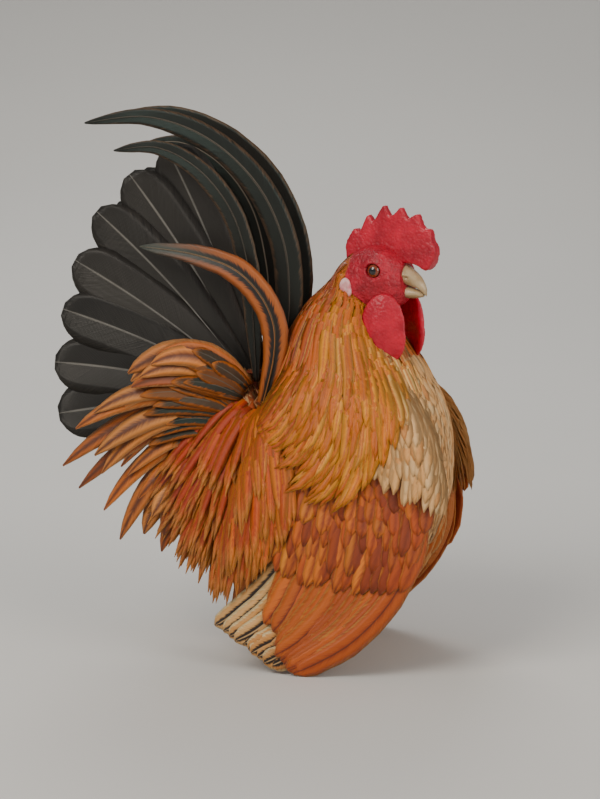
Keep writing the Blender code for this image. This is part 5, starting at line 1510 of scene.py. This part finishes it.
THIGH = (-34, 29, 54)
THIGH_SIZE = (18.5, 13.5, 20.5)
LEG_Y = 29
HOCK = (-48, 36)
ANKLE = (-34, 8)
TOES = [(0, 31), (28, 25), (-28, 25), (172, 13)]
CLAW = 7


def thigh_surface(side):
    """The thigh: a place for each t from its foot to its top and each angle round it."""
    def place(t, angle):
        t, angle = np.broadcast_arrays(np.asarray(t, float), np.asarray(angle, float))
        polar, around = np.pi * (1 - t / 10), np.radians(angle)
        x, y, z = THIGH_SIZE
        spot = np.stack(
            [x * np.sin(polar) * np.cos(around), y * np.sin(polar) * np.sin(around), z * np.cos(polar)], -1)
        return settled(spot + (THIGH[0], side * THIGH[1], THIGH[2]))
    return place


def limb(points, radii, sides, scutes=0.0, pitch=2.2):
    """A rod through points in millimetres, with overlapping plates across its front."""
    points, radii = np.asarray(points, float), np.asarray(radii, float)
    count = int(np.linalg.norm(np.diff(points, axis=0), axis=1).sum() / 0.45) + 2
    t = np.linspace(0, len(points) - 1, count)
    line, size = rows_at(points, t), rows_at(radii[:, None], t)[:, 0]
    along = unit(np.gradient(line, axis=0))
    side = unit(np.cross(along, (0, 0, 1.0)) + (0, 1e-6, 0))
    up = np.cross(side, along)
    walked = np.concatenate([[0], np.cumsum(np.linalg.norm(np.diff(line, axis=0), axis=1))])
    around = np.linspace(0, 2 * np.pi, sides + 1)
    fore = np.clip(np.sin(around), 0, 1) ** 0.6
    plate = (walked / pitch) % 1.0
    step = (1 - plate[:, None]) * fore + 0.3 * np.sin(walked[:, None] * 5.1 + 9 * np.sin(around)) * (1 - fore)
    reach = size[:, None] + scutes * step
    ring = line[:, None] + side[:, None] * (reach * np.cos(around))[..., None]
    ring = ring + up[:, None] * (reach * np.sin(around))[..., None]
    caps = [np.repeat(line[end][None, None], sides + 1, 1) for end in (0, -1)]
    return np.concatenate([caps[0], ring, caps[1]])


def limb_mesh(name, limbs):
    """Several limbs as one mesh standing on the floor, mapped side by side."""
    points, quads, uvs, start = [], [], [], 0
    for number, part in enumerate(limbs):
        rows, columns = part.shape[:2]
        points.append(part.reshape(-1, 3))
        quads.append(grid_quads(rows, columns, start, closed=False))
        u, v = np.meshgrid(np.linspace(0.02, 0.98, columns), np.linspace(0.02, 0.98, rows))
        uvs.append(np.stack([(u + number) / len(limbs), v], -1).reshape(-1, 2))
        start += rows * columns
    points = np.concatenate(points)
    points[:, 2] = np.maximum(points[:, 2], 0.05)
    return quad_mesh(name, settled(points), np.concatenate(quads)[:, ::-1], {"OFBake": np.concatenate(uvs)})


# Leg scale: horny yellow plates, waxy and dull, dirt-brown in the joints between them.
leg_scale, shader = new_material("leg_scale")
where = add_node(leg_scale, "ShaderNodeTexCoord")
cloud = add_node(
    leg_scale, "ShaderNodeTexNoise", {"Vector": where.outputs["Object"], "Scale": 150.0, "Detail": 4.0})
cells = add_node(
    leg_scale, "ShaderNodeTexVoronoi", {"Vector": where.outputs["Object"], "Scale": 700.0},
    feature="DISTANCE_TO_EDGE")
yellow = add_node(leg_scale, "ShaderNodeValToRGB", {"Fac": cloud.outputs["Fac"]})
yellow.color_ramp.elements[0].position, yellow.color_ramp.elements[1].position = 0.3, 0.7
yellow.color_ramp.elements[0].color = colour("#b0802c")
yellow.color_ramp.elements[1].color = colour("#dcb258")
joint_line = add_node(
    leg_scale, "ShaderNodeMapRange", {0: cells.outputs["Distance"], 1: 0.0, 2: 0.08, 3: 0.55, 4: 0.0})
grimed = add_node(
    leg_scale, "ShaderNodeMix",
    {"Factor": joint_line.outputs["Result"], 6: yellow.outputs["Color"], 7: colour("#6a4a24")},
    data_type="RGBA")
cell_bump = add_node(
    leg_scale, "ShaderNodeBump", {"Height": cells.outputs["Distance"], "Strength": 0.5, "Distance": 0.0003})
set_inputs(leg_scale, shader, Base_Color=grimed.outputs[2], Roughness=0.5, Normal=cell_bump.outputs["Normal"])

for side, name in SIDES:
    place = thigh_surface(side)
    t, angle = np.meshgrid(np.linspace(0, 10, 30), np.linspace(-180, 180, 41), indexing="ij")
    ball = place(t, angle)
    ball = ball - outward(place, np.clip(t, 0.2, 9.8), angle) * 2.5 * MM
    uv = np.stack([0.02 + 0.96 * (angle + 180) / 360, 0.02 + 0.96 * t / 10], -1)
    lots = np.tile((0.5, 0.5, 0.0, 1.0), (ball.shape[0] * ball.shape[1], 1))
    mesh = quad_mesh(
        "thigh_flesh_" + name, ball, grid_quads(*ball.shape[:2], closed=False), {"OFBake": uv}, lots)
    add_piece("thigh_flesh_" + name, mesh, hide, "fluff", "thigh_" + name)
    root_t, root_angle = scattered(place, 0.7, 9.4, 5.0)
    count = len(root_t)
    zone = luck.uniform(0.3, 0.7, count)
    fluff = coat(
        place, root_t, root_angle, luck.uniform(13, 20, count), luck.uniform(3.6, 5.0, count),
        CONTOUR_SHAPE, 6, -2.2,
        luck.uniform(0.4, 2.0, count), lot_of(zone), "thigh_fluff_" + name, splay=9)
    add_piece("thigh_fluff_" + name, fluff, down_vane, "fluff")

    hock, ankle = np.array((HOCK[0], side * LEG_Y, HOCK[1])), np.array((ANKLE[0], side * LEG_Y, ANKLE[1]))
    above = hock + (hock - ankle) * 0.3
    shank = [above, hock, hock * 0.75 + ankle * 0.25, hock * 0.25 + ankle * 0.75, ankle, ankle + (1.5, 0, -3)]
    limbs = [limb(shank, [4.8, 5.0, 4.2, 3.9, 4.6, 3.6], 28, 0.45, 2.6)]
    claws = []
    for way, length in TOES:
        heading = np.array((math.cos(math.radians(way)), math.sin(math.radians(way)), 0.0))
        base = np.array((ANKLE[0] + 1, side * LEG_Y, 4.6))
        first = np.array((ANKLE[0] + 1, side * LEG_Y, 3.4)) + heading * length * 0.3
        end = first + heading * length * 0.62 + (0, 0, -0.9)
        limbs.append(limb([base, first, first * 0.4 + end * 0.6, end], [3.2, 3.4, 2.9, 2.3], 24, 0.35, 1.9))
        tip = end + heading * CLAW + (0, 0, -1.5)
        bend = end + heading * CLAW * 0.45 + (0, 0, 0.7)
        claws.append(limb([end - heading * 1.5, bend, tip], [1.8, 1.4, 0.25], 16))
    add_piece("shank_" + name, limb_mesh("shank_" + name, limbs), leg_scale, "shank", "leg_" + name)
    add_piece("claws_" + name, limb_mesh("claws_" + name, claws), horn, "horn")
